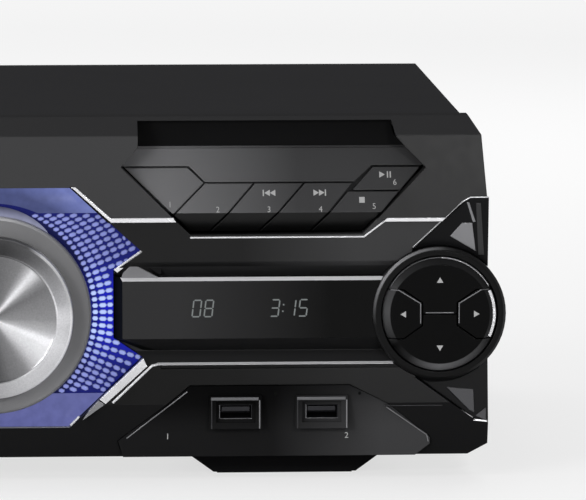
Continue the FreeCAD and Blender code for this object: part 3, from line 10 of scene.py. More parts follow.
import bmesh
import bpy
import numpy as np
from mathutils import Euler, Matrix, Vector

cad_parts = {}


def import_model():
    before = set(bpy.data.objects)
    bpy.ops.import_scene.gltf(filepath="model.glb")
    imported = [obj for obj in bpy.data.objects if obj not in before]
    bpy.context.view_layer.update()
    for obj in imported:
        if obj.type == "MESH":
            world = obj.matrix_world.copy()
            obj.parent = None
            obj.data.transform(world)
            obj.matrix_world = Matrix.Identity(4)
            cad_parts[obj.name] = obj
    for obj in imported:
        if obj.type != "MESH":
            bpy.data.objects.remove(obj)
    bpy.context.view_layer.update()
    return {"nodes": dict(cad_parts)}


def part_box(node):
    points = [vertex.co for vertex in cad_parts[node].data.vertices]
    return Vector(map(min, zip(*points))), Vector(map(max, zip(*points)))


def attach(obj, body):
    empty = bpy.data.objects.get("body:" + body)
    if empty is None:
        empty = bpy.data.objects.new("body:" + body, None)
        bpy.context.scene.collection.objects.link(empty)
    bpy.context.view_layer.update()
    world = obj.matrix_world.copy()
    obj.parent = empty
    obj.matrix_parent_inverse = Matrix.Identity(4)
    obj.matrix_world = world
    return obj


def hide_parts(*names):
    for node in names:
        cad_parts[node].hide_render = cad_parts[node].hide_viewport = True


MM = 0.001
GRAIN_CELLS = 5200  # Cells per metre of the grain on moulded plastic.
PATCH_CELLS = 210  # Cells per metre of the patches in its gloss.
PAD_CENTRE = 178.4  # Distance in mm of the key pads' middles from the dial's axis.
FACETED = 20  # Edges sharper than this many degrees stay hard on faceted pieces.
TURNED = 24  # The same on turned pieces.
BEADED = 50  # The same on the lens.
FONT_SCALE = 1.4  # Size of the built-in font for a numeral of height 1.
RING_BLEND = 0.3  # Width in mm over which one ring's tone passes into the next.
CREASE = 12.0  # The moulding's crease stands this far in front of the front plane, in mm.
LOG = logging.getLogger("console")

Colour = tuple[float, float, float]
Point = tuple[float, float]
Zone = tuple[float, Sequence[Point]]
Place = tuple[float, float, float]
Heights = Callable[[np.ndarray], np.ndarray]


class Side(Enum):
    """The two halves of the front; the value is the sign of X."""

    RIGHT = 1
    LEFT = -1


@dataclass(frozen=True)
class Datum:
    """Where the front plane and the dial's middle lie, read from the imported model, in mm."""

    front: float
    dial_z: float
    base: float

    @staticmethod
    def read() -> "Datum":
        """Works out the datum from the boxes of the front moulding and the dial.

        Returns:
            The datum of this model.
        """
        panel_low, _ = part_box("front_panel")
        skirt_low, skirt_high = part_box("dial_skirt")
        return Datum(front=panel_low[1] / MM + CREASE,
                     dial_z=(skirt_low[2] + skirt_high[2]) / 2 / MM, base=panel_low[2] / MM)


def srgb(red: float, green: float, blue: float) -> Colour:
    """Turns a colour as it shows on a screen into a linear one.

    Args:
        red: Share of red, 0 to 1.
        green: Share of green.
        blue: Share of blue.

    Returns:
        The linear colour.
    """
    return tuple(value / 12.92 if value <= 0.04045 else ((value + 0.055) / 1.055) ** 2.4
                 for value in (red, green, blue))


def grey(light: float, blue: float = 0.0) -> Colour:
    """Gives a grey as it shows on a screen, with a little more blue, as a linear colour."""
    return srgb(light, light, light + blue)


class Tree:
    """A short way to add and link the nodes of a material or a world."""

    def __init__(self, tree: bpy.types.NodeTree) -> None:
        """Starts with no nodes.

        Args:
            tree: The tree that takes them.
        """
        self.tree = tree
        tree.nodes.clear()

    def link(self, source: bpy.types.NodeSocket, target: bpy.types.NodeSocket) -> None:
        """Joins two sockets."""
        self.tree.links.new(source, target)

    def add(self, kind: str, **settings: object) -> bpy.types.Node:
        """Adds a node.

        Args:
            kind: The node's type name without the ShaderNode prefix.
            settings: Properties of the node, or input values under in_NAME.

        Returns:
            The new node.
        """
        made = self.tree.nodes.new("ShaderNode" + kind)
        for key, value in settings.items():
            if key.startswith("in_"):
                made.inputs[key[3:].replace("_", " ")].default_value = value
            else:
                setattr(made, key, value)
        return made

    def worked(self, operation: str, *values: bpy.types.NodeSocket,
               kind: str = "Math") -> bpy.types.NodeSocket:
        """Gives what an operation makes of one or two sockets.

        Args:
            operation: The operation's name.
            values: What it takes.
            kind: Math for numbers, VectorMath for vectors.

        Returns:
            The outcome, which is a number for the length of a vector.
        """
        made = self.add(kind, operation=operation)
        for value, socket in zip(values, made.inputs):
            self.link(value, socket)
        return made.outputs["Value" if kind == "Math" or operation == "LENGTH" else "Vector"]

    def parts(self, vector: bpy.types.NodeSocket) -> bpy.types.NodeOutputs:
        """Splits a vector.

        Args:
            vector: What is split.

        Returns:
            Its X, Y and Z, by name.
        """
        split = self.add("SeparateXYZ")
        self.link(vector, split.inputs["Vector"])
        return split.outputs

    def seen_rays(self) -> bpy.types.NodeSocket:
        """Tells whether a ray comes from the camera, from a gloss or through glass.

        Returns:
            1 for such a ray, and 0 for any other.
        """
        path = self.add("LightPath").outputs
        return self.worked("MAXIMUM", self.worked("MAXIMUM", path["Is Camera Ray"],
                                                  path["Is Glossy Ray"]),
                           path["Is Transmission Ray"])


class Nodes(Tree):
    """The nodes of one material, round a Principled shader."""

    def __init__(self, name: str) -> None:
        """Makes a material with an output and a Principled shader.

        Args:
            name: The material's name.
        """
        self.material = bpy.data.materials.new(name)
        self.material.use_nodes = True
        super().__init__(self.material.node_tree)
        self.output = self.add("OutputMaterial")
        self.shader = self.add("BsdfPrincipled")
        self.link(self.shader.outputs["BSDF"], self.output.inputs["Surface"])

    def place(self) -> bpy.types.NodeSocket:
        """Gives the Object coordinates."""
        return self.add("TexCoord").outputs["Object"]

    def mapped(self, scale: Place,
               centre: Place = (0, 0, 0)) -> bpy.types.NodeSocket:
        """Gives Object coordinates, moved to a centre and then scaled.

        Args:
            scale: Scale on each axis.
            centre: The point, in metres, that becomes the origin.

        Returns:
            The mapped vector.
        """
        mapping = self.add("Mapping", vector_type="POINT")
        mapping.inputs["Scale"].default_value = scale
        mapping.inputs["Location"].default_value = [-c * s for c, s in zip(centre, scale)]
        self.link(self.place(), mapping.inputs["Vector"])
        return mapping.outputs["Vector"]

    def noise(self, scale: float, detail: float = 3,
              stretch: Place = (1, 1, 1)) -> bpy.types.NodeSocket:
        """Gives a noise value between 0 and 1.

        Args:
            scale: Cells per metre.
            detail: Octaves.
            stretch: Scale on each axis before the noise.

        Returns:
            The noise factor.
        """
        noise = self.add("TexNoise", in_Scale=scale, in_Detail=detail)
        self.link(self.mapped(stretch), noise.inputs["Vector"])
        return noise.outputs["Fac"]

    def ramp(self, value: bpy.types.NodeSocket, low: float, high: float,
             start: float, end: float) -> bpy.types.NodeSocket:
        """Maps a value from one range to another, clamped.

        Args:
            value: The input.
            low: Input value that gives start.
            high: Input value that gives end.
            start: Output at low.
            end: Output at high.

        Returns:
            The mapped value.
        """
        span = self.add("MapRange", clamp=True, in_From_Min=low, in_From_Max=high,
                        in_To_Min=start, in_To_Max=end)
        self.link(value, span.inputs["Value"])
        return span.outputs["Result"]

    def blend(self, factor: bpy.types.NodeSocket, first: Colour | bpy.types.NodeSocket,
              second: Colour | bpy.types.NodeSocket) -> bpy.types.NodeSocket:
        """Mixes two colours, or what two sockets give.

        Args:
            factor: Share of the second one.
            first: The first colour or socket.
            second: The second colour or socket.

        Returns:
            The mixed colour.
        """
        mix = self.add("Mix", data_type="RGBA")
        self.link(factor, mix.inputs[0])
        for given, socket in ((first, mix.inputs[6]), (second, mix.inputs[7])):
            if isinstance(given, bpy.types.NodeSocket):
                self.link(given, socket)
            else:
                socket.default_value = (*given, 1)
        return mix.outputs[2]

    def span(self, vector: bpy.types.NodeSocket) -> bpy.types.NodeSocket:
        """Gives the length of a vector."""
        return self.worked("LENGTH", vector, kind="VectorMath")

    def greys(self, value: bpy.types.NodeSocket, stops: Iterable[Point],
              kind: str = "LINEAR") -> bpy.types.NodeSocket:
        """Gives a grey by a value between 0 and 1.

        Args:
            value: The input.
            stops: Pairs of input value and share of light.
            kind: How the greys change between the stops.

        Returns:
            The grey.
        """
        ramp = self.add("ValToRGB")
        ramp.color_ramp.interpolation = kind
        elements = ramp.color_ramp.elements
        for index, (place, share) in enumerate(stops):
            stop = elements[index] if index < len(elements) else elements.new(place)
            stop.position = place
            stop.color = (share, share, share * 1.03, 1)
        self.link(value, ramp.inputs["Fac"])
        return ramp.outputs["Color"]

    def ringed(self, centre: Place, zones: Sequence[Zone],
               mirrored: bool = False) -> bpy.types.NodeSocket:
        """Gives a grey of painted highlight and shade by radius and azimuth about an axis along Y,
        fixed in the room.

        Args:
            centre: A point on the axis, in metres.
            zones: For every ring its inner radius in mm, and pairs of azimuth in degrees
                and share of light.
            mirrored: Whether the left half mirrors the right one.

        Returns:
            The grey.
        """
        place = self.add("NewGeometry").outputs["Position"]
        if mirrored:
            place = self.worked("ABSOLUTE", place, kind="VectorMath")
        away = self.parts(self.less(place, centre))
        flat = self.add("CombineXYZ")
        for axis in "XZ":
            self.link(away[axis], flat.inputs[axis])
        radius = self.span(flat.outputs["Vector"])
        angle = self.worked("ARCTAN2", away["Z"], away["X"])
        turn = self.ramp(angle, -math.pi, math.pi, 0, 1)
        tone = None
        for start, shares in zones:
            given, greys = zip(*shares)
            places = sorted({-180.0, 180.0, *(float(a) for a in given if abs(a) < 180)})
            stops = zip(np.add(places, 180) / 360, np.interp(places, given, greys, period=360))
            ring = self.greys(turn, [(float(a), float(b)) for a, b in stops])
            if tone is not None:
                beyond = self.ramp(radius, start * MM, (start + RING_BLEND) * MM, 0, 1)
                ring = self.blend(beyond, tone, ring)
            tone = ring
        return tone

    def less(self, place: bpy.types.NodeSocket,
             centre: Place) -> bpy.types.NodeSocket:
        """Takes a fixed point from a place.

        Args:
            place: The place.
            centre: The fixed point, in metres.

        Returns:
            The way from the point to the place.
        """
        away = self.add("VectorMath", operation="SUBTRACT")
        away.inputs[1].default_value = centre
        self.link(place, away.inputs[0])
        return away.outputs["Vector"]

    def uneven(self, roughness: float) -> None:
        """Gives the surface a gloss that varies a little from patch to patch."""
        self.link(self.ramp(self.noise(PATCH_CELLS), 0.3, 0.7, roughness - 0.02,
                            roughness + 0.02), self.shader.inputs["Roughness"])

    def eroded(self, radius: float, strength: float, distance: float = 0.00006) -> None:
        """Rounds the edges and adds the fine grain of a spark-eroded mould."""
        self.edges(radius, self.noise(GRAIN_CELLS, 2), strength, distance)

    def edges(self, radius: float, height: bpy.types.NodeSocket | None = None,
              strength: float = 0.1, distance: float = 0.0002) -> None:
        """Rounds the edges in the shading and adds fine relief.

        Args:
            radius: Radius of the rounded edges in metres.
            height: Relief between 0 and 1, if any.
            strength: Strength of the relief.
            distance: Height of the relief in metres.
        """
        bevel = self.add("Bevel", samples=6, in_Radius=radius)
        normal = bevel.outputs["Normal"]
        if height is not None:
            bump = self.add("Bump", in_Strength=strength, in_Distance=distance)
            self.link(height, bump.inputs["Height"])
            self.link(normal, bump.inputs["Normal"])
            normal = bump.outputs["Normal"]
        self.link(normal, self.shader.inputs["Normal"])

    def set(self, **values: object) -> None:
        """Sets inputs of the Principled shader by name, with spaces as underscores."""
        for key, value in values.items():
            self.shader.inputs[key.replace("_", " ")].default_value = value


@dataclass(frozen=True)
class Moulded:
    """Moulded plastic with a fine spark-eroded grain and slightly uneven gloss."""

    name: str
    colour: Colour
    roughness: float = 0.42
    grain: float = 0.12
    edge: float = 0.0005
    specular: float = 0.3
    coat: float = 0.0

    def build(self) -> bpy.types.Material:
        """Makes the material.

        Returns:
            A Principled material with colour, gloss and relief from noise.
        """
        nodes = Nodes(self.name)
        tone = nodes.noise(38, 4)
        darker = tuple(value * 0.96 for value in self.colour)
        lighter = tuple(min(1, value * 1.04) for value in self.colour)
        nodes.link(nodes.blend(tone, darker, lighter), nodes.shader.inputs["Base Color"])
        nodes.uneven(self.roughness)
        nodes.set(Specular_IOR_Level=self.specular, Coat_Weight=self.coat,
                  Coat_Roughness=0.08)
        nodes.eroded(self.edge, self.grain)
        return nodes.material


@dataclass(frozen=True)
class Banded:
    """Moulded plastic painted in bands by height, each toned from the middle outwards.
    The bands are partly two-tone paint and partly painted light and shade; the tone
    outwards is painted light.

    Attributes:
        bands: For every band its lowest height in mm, and its tone near the dial and near
            the console's end; the difference is painted light.
        span: Distances from the middle in mm between which the tone, a painted light, changes.
        matt_from: Height in mm above which the paint is dead matt.
        matt_below: Height in mm below which it is, too.
    """

    name: str
    bands: tuple[tuple[float, float, float], ...]
    span: tuple[float, float]
    roughness: float = 0.38
    specular: float = 0.2
    matt_from: float = 138.3
    matt_below: float = 31.4
    kind: str = "CONSTANT"
    edge: ClassVar[float] = 0.0005
    grain: ClassVar[float] = 0.08
    reach: ClassVar[float] = 150.0

    def tone(self, nodes: Nodes, height: bpy.types.NodeSocket,
             column: int) -> bpy.types.NodeSocket:
        """Gives the tone by height, as steps.

        Args:
            nodes: The material.
            height: Height as a share of the reach.
            column: 1 for the tone near the dial, 2 for the one near the end.

        Returns:
            The colour.
        """
        return nodes.greys(height, [(band[0] / self.reach, band[column])
                                    for band in self.bands], self.kind)

    def build(self) -> bpy.types.Material:
        """Makes the material.

        Returns:
            A satin paint with fine grain.
        """
        nodes = Nodes(self.name)
        place = nodes.parts(nodes.place())
        height = nodes.ramp(place["Z"], 0, self.reach * MM, 0, 1)
        outwards = nodes.ramp(nodes.worked("ABSOLUTE", place["X"]), self.span[0] * MM,
                              self.span[1] * MM, 0, 1)
        nodes.link(nodes.blend(outwards, *(self.tone(nodes, height, column) for column in (1, 2))),
                   nodes.shader.inputs["Base Color"])
        above, below = (nodes.ramp(height, level / self.reach, level / self.reach + 0.002,
                                   low, high)
                        for level, low, high in ((self.matt_from, self.specular, 0),
                                                 (self.matt_below, 0.1, 1)))
        nodes.link(nodes.worked("MULTIPLY", above, below),
                   nodes.shader.inputs["Specular IOR Level"])
        nodes.uneven(self.roughness)
        nodes.eroded(self.edge, self.grain)
        return nodes.material


@dataclass(frozen=True)
class Ringed:
    """Plastic turned about an axis, with highlights and shade painted into its rings by azimuth.

    Attributes:
        centre: X and Z of the axis in mm.
        zones: Rings with their shares of painted light, as Nodes.ringed takes them.
    """

    name: str
    centre: Point
    zones: tuple[Zone, ...]
    roughness: float = 0.3
    specular: float = 0.05
    edge: ClassVar[float] = 0.0005
    grain: ClassVar[float] = 0.05

    def build(self) -> bpy.types.Material:
        """Makes the material.

        Returns:
            A plastic with fine grain and painted highlights and shade.
        """
        nodes = Nodes(self.name)
        centre = (self.centre[0] * MM, 0, self.centre[1] * MM)
        nodes.link(nodes.ringed(centre, self.zones, mirrored=True),
                   nodes.shader.inputs["Base Color"])
        nodes.uneven(self.roughness)
        nodes.set(Specular_IOR_Level=self.specular)
        nodes.eroded(self.edge, self.grain, 0.00004)
        return nodes.material


@dataclass(frozen=True)
class Plated:
    """Bright plated trim: chrome with faint haze; its greys also serve as painted highlights and
    lit facets.
    """

    name: str
    colour: Colour
    roughness: float
    metallic: float = 1.0
    edge: ClassVar[float] = 0.0003
    haze_cells: ClassVar[float] = 60
    ripple_cells: ClassVar[float] = 900

    def build(self) -> bpy.types.Material:
        """Makes the material.

        Returns:
            A metal with a roughness that varies a little over its length.
        """
        nodes = Nodes(self.name)
        nodes.set(Metallic=self.metallic)
        haze = nodes.noise(self.haze_cells)
        nodes.link(nodes.blend(haze, tuple(0.93 * c for c in self.colour), self.colour),
                   nodes.shader.inputs["Base Color"])
        nodes.link(nodes.ramp(haze, 0.3, 0.7, self.roughness * 0.8, self.roughness * 1.25),
                   nodes.shader.inputs["Roughness"])
        nodes.edges(self.edge, nodes.noise(self.ripple_cells, 2), 0.04, 0.00004)
        return nodes.material


@dataclass(frozen=True)
class Brushed:
    """Sheet or cast metal with fine lines along one axis."""

    name: str
    colour: Colour
    roughness: float = 0.35
    stretch: Place = (0.05, 1, 1)
    line_cells: ClassVar[float] = 2600

    def build(self) -> bpy.types.Material:
        """Makes the material.

        Returns:
            A metal whose brush lines change gloss and relief.
        """
        nodes = Nodes(self.name)
        nodes.set(Metallic=1.0)
        lines = nodes.noise(self.line_cells, stretch=self.stretch)
        nodes.link(nodes.blend(lines, tuple(0.85 * c for c in self.colour), self.colour),
                   nodes.shader.inputs["Base Color"])
        nodes.link(nodes.ramp(lines, 0.3, 0.7, self.roughness - 0.07, self.roughness + 0.07),
                   nodes.shader.inputs["Roughness"])
        nodes.edges(0.0003, lines, 0.1, 0.00003)
        return nodes.material


@dataclass(frozen=True)
class Glowing:
    """A display segment that gives off light, or a printed marking with a painted glow."""

    name: str
    colour: Colour
    strength: float

    def build(self) -> bpy.types.Material:
        """Makes the material.

        Returns:
            A dark surface that gives off the colour.
        """
        nodes = Nodes(self.name)
        nodes.set(Base_Color=(*(0.4 * c for c in self.colour), 1), Roughness=0.45,
                  Emission_Color=(*self.colour, 1), Emission_Strength=self.strength)
        return nodes.material


class Skin:
    """Collects the faces of one piece, in mm in the row frame, and makes it an object."""

    def __init__(self, name: str, *materials: bpy.types.Material) -> None:
        """Starts an empty piece.

        Args:
            name: The piece's name.
            materials: Its materials; faces name them by their place in this list.
        """
        self.name = name
        self.materials = materials
        self.points: list[np.ndarray] = []
        self.faces: list[list[int]] = []
        self.slots: list[int] = []
        self.count = 0

    def add(self, points: np.ndarray, faces: Iterable[Sequence[int]], slot: int = 0) -> None:
        """Adds points and the faces between them.

        Args:
            points: N x 3 places in mm.
            faces: Rows of indices into these points.
            slot: Which of the materials the faces take.
        """
        points = np.asarray(points, float).reshape(-1, 3)
        rows = [[int(i) + self.count for i in face] for face in faces]
        self.points.append(points)
        self.faces += rows
        self.slots += [slot] * len(rows)
        self.count += len(points)

    def grid(self, points: np.ndarray, slot: int = 0, closed: bool = False) -> None:
        """Adds a sheet of quads over an M x N x 3 array.

        Args:
            points: The array of places.
            slot: Which of the materials the faces take.
            closed: Whether the last column joins the first.
        """
        rows, columns = points.shape[:2]
        index = np.arange(rows * columns).reshape(rows, columns)
        if closed:
            index = np.hstack([index, index[:, :1]])
        quads = np.stack([index[:-1, :-1], index[:-1, 1:], index[1:, 1:], index[1:, :-1]], -1)
        self.add(points, quads.reshape(-1, 4), slot)

    def rings(self, rings: Sequence[np.ndarray], slots: Sequence[int] | int = 0,
              capped: bool = True) -> None:
        """Joins closed rings of equal length one after another and caps both ends.

        Args:
            rings: N x 3 arrays of places.
            slots: Material of each band and, last, of the cap, or one for all.
            capped: Whether the first and the last ring are closed with a face.
        """
        chosen = [slots] * len(rings) if isinstance(slots, int) else list(slots)
        for first, second, slot in zip(rings, rings[1:], chosen):
            self.grid(np.stack([first, second]), slot, closed=True)
        if capped:
            self.add(rings[0], [range(len(rings[0]))[::-1]], chosen[0])
            self.add(rings[-1], [range(len(rings[-1]))], chosen[-1])

    def turned(self, profile: Sequence[Point], centre: Point, front: float,
               slots: Sequence[int] | int = 0, steps: int = 192) -> None:
        """Turns a half section about an axis along Y.

        Args:
            profile: Radius and height in front of the front plane, from the rear.
            centre: X and Z of the axis.
            front: Y of the front plane.
            slots: Material of each band, or one for all.
            steps: Facets around the axis.
        """
        angle = np.linspace(0, 2 * math.pi, steps, endpoint=False)
        rings = [np.stack([centre[0] + radius * np.cos(angle), np.full(steps, front - proud),
                           centre[1] + radius * np.sin(angle)], -1)
                 for radius, proud in profile]
        self.rings(rings, slots, capped=False)

    def build(self, smooth: float = 30) -> bpy.types.Object:
        """Makes the object.

        Args:
            smooth: Edges sharper than this many degrees stay hard.

        Returns:
            The object, at the origin.
        """
        mesh = bpy.data.meshes.new(self.name)
        mesh.from_pydata((np.concatenate(self.points) * MM).tolist(), [], self.faces)
        mesh.polygons.foreach_set("material_index", self.slots)
        for material in self.materials:
            mesh.materials.append(material)
        work = bmesh.new()
        work.from_mesh(mesh)
        bmesh.ops.remove_doubles(work, verts=work.verts, dist=1e-7)
        bmesh.ops.recalc_face_normals(work, faces=work.faces)
        work.to_mesh(mesh)
        work.free()
        mesh.shade_smooth()
        mesh.set_sharp_from_angle(angle=math.radians(smooth))
        made = bpy.data.objects.new(self.name, mesh)
        bpy.context.scene.collection.objects.link(made)
        return made


def inset(outline: np.ndarray, amount: float) -> np.ndarray:
    """Moves every edge of a closed outline inwards, mitred at the corners.

    Args:
        outline: N x 2 places.
        amount: Distance in mm; a negative one grows the outline.

    Returns:
        The moved outline.
    """
    after = np.roll(outline, -1, axis=0)
    area = np.sum(outline[:, 0] * after[:, 1] - after[:, 0] * outline[:, 1])
    edge = after - outline
    edge /= np.linalg.norm(edge, axis=1, keepdims=True)
    normal = np.stack([-edge[:, 1], edge[:, 0]], -1) * np.sign(area)
    before = np.roll(normal, 1, axis=0)
    scale = 1 + np.sum(before * normal, axis=1, keepdims=True)
    return outline + amount * (before + normal) / np.maximum(scale, 0.25)


def standing(outline: np.ndarray, y: float | np.ndarray) -> np.ndarray:
    """Stands an outline of X and Z up at a depth.

    Args:
        outline: N x 2 places.
        y: Depth of every point, or of each.

    Returns:
        N x 3 places.
    """
    return np.stack([outline[:, 0], np.broadcast_to(y, len(outline)), outline[:, 1]], -1)


def within(outline: np.ndarray, points: np.ndarray) -> np.ndarray:
    """Tells which points lie in an outline.

    Args:
        outline: N x 2 corners.
        points: M x 2 places.

    Returns:
        M truth values.
    """
    first = outline[None]
    second = np.roll(outline, -1, axis=0)[None]
    x, z = points[:, None, 0], points[:, None, 1]
    spans = (first[..., 1] > z) != (second[..., 1] > z)
    rise = np.where(second[..., 1] == first[..., 1], 1e-9, second[..., 1] - first[..., 1])
    cross = first[..., 0] + (z - first[..., 1]) / rise * (second[..., 0] - first[..., 0])
    return np.sum(spans & (x < cross), axis=1) % 2 == 1


@dataclass(frozen=True)
class Moulding:
    """The section of the front moulding: how far its face stands proud at each height."""

    heights: tuple[float, ...] = (9.5, 31.5, 47.4, 51.7, 82.0, 88.2, 105.15, 105.2, 138.3, 145.5)
    proud: tuple[float, ...] = (4, 12, 10, 2, 2, 8, 8, 10, 6, -2)

    def at(self, z: np.ndarray | float) -> np.ndarray:
        """Gives the height of the face above the front plane.

        Args:
            z: Heights above the shelf in mm.

        Returns:
            How far the face stands proud of the front plane, in mm.
        """
        return np.interp(z, self.heights, self.proud)


@dataclass(frozen=True)
class Workshop:
    """What every maker needs: the datum, the moulding's section and the finishes."""

    datum: Datum
    moulding: Moulding
    finishes: dict[str, bpy.types.Material]
    chamfer: ClassVar[float] = 0.18

    def skin(self, name: str, *finishes: str) -> Skin:
        """Starts a piece with some of the finishes, as its slots 0, 1 and so on."""
        return Skin(name, *(self.finishes[finish] for finish in finishes))

    def tile(self, skin: Skin, outline: Sequence[Point] | np.ndarray, slot: int = 0,
             lift: float = 0.5, edge: float = chamfer, depth: float = 2.0,
             proud: np.ndarray | float | None = None) -> None:
        """Adds a raised tile that follows the moulding or stands at a given height.

        Args:
            skin: The piece that takes the tile.
            outline: X and Z of its corners.
            slot: Material of the tile.
            lift: Height above the moulding's face.
            edge: Width of the chamfer.
            depth: How far the tile reaches back.
            proud: Height of each corner, if not the moulding's.
        """
        flat = np.asarray(outline, float)
        face = self.moulding.at(flat[:, 1]) if proud is None else np.broadcast_to(
            np.asarray(proud, float), len(flat))
        front = self.datum.front
        skin.rings([standing(flat, front - face - lift + depth),
                    standing(flat, front - face - lift + edge),
                    standing(inset(flat, edge), front - face - lift)], slot)

    def strip(self, skin: Skin, line: Sequence[Point], width: float, slot: int = 0,
              lift: float = 0.5, side: float = 0.0,
              proud: Heights | float | None = None) -> None:
        """Adds a narrow strip along a line of corners, mitred.

        Args:
            skin: The piece that takes the strip.
            line: X and Z along the strip.
            width: Its width in mm.
            slot: Its material.
            lift: Height above the moulding's face.
            side: Shift to the left of the line's direction, as a share of the width.
            proud: Height of the face it lies on, or what gives it for places, if not the
                moulding's.
        """
        points = np.asarray(line, float)
        step = np.diff(points, axis=0)
        step /= np.linalg.norm(step, axis=1, keepdims=True)
        normal = np.stack([-step[:, 1], step[:, 0]], -1)
        before = np.vstack([normal[:1], normal])
        after = np.vstack([normal, normal[-1:]])
        scale = 1 + np.sum(before * after, axis=1, keepdims=True)
        across = (before + after) / scale
        left = points + across * width * (0.5 + side)
        right = points + across * width * (side - 0.5)
        for i in range(len(points) - 1):
            outline = np.array([left[i], left[i + 1], right[i + 1], right[i]])
            face = proud(outline) if callable(proud) else proud
            self.tile(skin, outline, slot, lift, min(self.chamfer, width * 0.3), proud=face)

    @staticmethod
    def mirrored(outline: Sequence[Point], side: Side) -> list[Point]:
        """Gives an outline of the right half on either side."""
        return [(x * side.value, z) for x, z in outline]


@dataclass(frozen=True)
class Lens:
    """The lit lens behind the dial: flat zones above and below, beads at its waist.

    Attributes:
        outline: Right half about the dial's axis, from the foot.
        rear: Height of its back above the front plane; floor and face follow.
        zone_top: Where the upper flat zone starts; zone_foot is where the lower one ends.
        opening: What the columns' centre is off the dial's axis.
        arch: Radius of the upper zone's lower edge.
        columns: Distances of the beads outwards from the column radius.
        slant_share: Lean of a bead as a share of its azimuth, up to the limit.
        first_share: Length of the beads nearest the dial; lean_share turns their width.
        margin: What the beads keep clear of the flat zones.
        sunk: How deep a zone's foot stands in the floor; chamfer is its edge's width and
            height.
        shortest_share: A bead whose tip is clipped further back than this is left out.
        glow_turn: Azimuths between which the pale arc above the skirt, a painted highlight, swells
            and ends.
        brick: Outline of a bead in half axes, and levels its shares and heights.
    """

    outline: tuple[Point, ...] = ((30.45, -45.3), (59.7, -17.6), (48.4, -9.9), (48.4, 17.1),
                                  (59.7, 25.0), (31.05, 50.7))
    rear: float = 1.5
    floor: float = 3.4
    face: float = 4.2
    zone_top: float = 40.4
    zone_foot: float = -32.0
    opening: Point = (-2.6, 0.6)
    column_radius: float = 42.9
    arch: float = 44.4
    columns: tuple[float, ...] = (0.9, 4.0, 7.2, 10.6, 14.0, 17.4, 20.8, 24.2)
    row_pitch: float = 2.5
    bead_half: tuple[float, float] = (1.62, 0.95)
    glow_turn: Point = (54, 130)
    glow_from: float = 39.0
    glow_width: float = 4.5
    slant_share: float = 1.0
    slant_limit: float = 0.42
    rows: int = 26
    first_share: float = 0.78
    lean_share: float = 0.8
    shortest_share: float = -0.15
    margin: float = 0.9
    sunk: float = 0.2
    chamfer: Point = (0.2, 0.15)
    steps: int = 33
    glow_lift: float = 0.3
    parts: ClassVar[tuple[str, ...]] = ("lens_floor", "lens_flat", "lens_bead", "lens_low",
                                        "lens_painted_arc")
    brick: ClassVar[tuple[Point, ...]] = ((-1, -0.15), (-0.6, -1), (0.6, -1), (1, -0.15),
                                          (1, 0.15), (0.6, 1), (-0.6, 1), (-1, 0.15))
    levels: ClassVar[tuple[Point, ...]] = ((1.0, 0.0), (0.9, 0.35), (0.68, 0.62), (0.4, 0.76),
                                           (0.12, 0.8))

    def whole(self) -> np.ndarray:
        """Gives the closed outline about the dial's axis."""
        right = list(self.outline)
        return np.array(right + [(-x, z) for x, z in reversed(right)])

    def edge_at(self, z: float) -> float:
        """Gives the half width of the lens beside its sloping outer edges.

        Args:
            z: Height above the dial's axis in mm.

        Returns:
            The way across, on a straight line between the two corners.
        """
        points = self.outline[:2] if z < 0 else self.outline[4:]
        (x0, z0), (x1, z1) = points
        return x0 + (x1 - x0) * (z - z0) / (z1 - z0)

    def beads(self) -> tuple[np.ndarray, np.ndarray, np.ndarray]:
        """Places the beads of the right half.

        Returns:
            Centres, and the two half axes of every bead, as N x 2 arrays. Columns are arcs
            about the opening's centre, and rows lean more the further they are from the waist.
        """
        row, column = np.meshgrid(np.arange(-self.rows, self.rows + 1), self.columns,
                                  indexing="ij")
        turn = row * self.row_pitch / self.column_radius
        slant = np.clip(turn * self.slant_share, -self.slant_limit, self.slant_limit)
        along = np.stack([np.cos(slant), np.sin(slant)], -1)
        lean = turn * self.lean_share
        up = np.stack([-np.sin(lean), np.cos(lean)], -1)
        start = self.column_radius * np.stack([np.cos(turn), np.sin(turn)], -1)
        centre = start + along * column[..., None] + self.opening
        centre = centre.reshape(-1, 2)
        half = np.where(column < self.columns[1], self.first_share,
                        1.0).reshape(-1, 1) * self.bead_half[0]
        axis = along.reshape(-1, 2) * half
        reach = np.linspace(-0.5, 1, 16)
        inside = np.array([within(self.whole(), centre + share * axis) for share in reach])
        tip = reach[np.clip(inside.sum(axis=0) - 1, 0, None)][:, None]
        centre = centre + axis * (tip - 1) / 2
        keep = inside[0] & (tip[:, 0] > self.shortest_share)
        keep &= centre[:, 1] < self.zone_top - self.margin
        keep &= centre[:, 1] > self.zone_foot + self.margin
        return (centre[keep], (axis * (tip + 1) / 2)[keep],
                up.reshape(-1, 2)[keep] * self.bead_half[1])

    def build(self, shop: Workshop) -> bpy.types.Object:
        """Makes the lens.

        Args:
            shop: Datum and finishes.

        Returns:
            The lens with its beads.
        """
        skin = shop.skin("lit_lens", *self.parts)
        centre = np.array([0, shop.datum.dial_z])
        front = shop.datum.front
        outline = self.whole() + centre
        skin.rings([standing(outline, front - self.rear), standing(outline, front - self.floor)])
        for finish, zone in zip(("lens_flat", "lens_low"), self.zones()):
            flat = np.array(zone) + centre
            skin.rings([standing(flat, front - self.floor + self.sunk),
                        standing(flat, front - self.face + self.chamfer[1]),
                        standing(inset(flat, self.chamfer[0]), front - self.face)],
                       self.parts.index(finish))
        # Painted highlight: a pale arc that gives off light above the skirt.
        turn = np.linspace(*np.radians(self.glow_turn), self.steps)
        bulge = np.sin(np.linspace(0, math.pi, self.steps)) ** 0.7 * self.glow_width
        arcs = [np.stack([radius * np.cos(turn), radius * np.sin(turn)], -1) + centre
                for radius in (self.glow_from, self.glow_from + bulge)]
        skin.grid(np.stack([standing(arc, front - self.face - self.glow_lift) for arc in arcs]),
                  self.parts.index("lens_painted_arc"))
        self.scatter(skin, centre, front)
        return skin.build(BEADED)

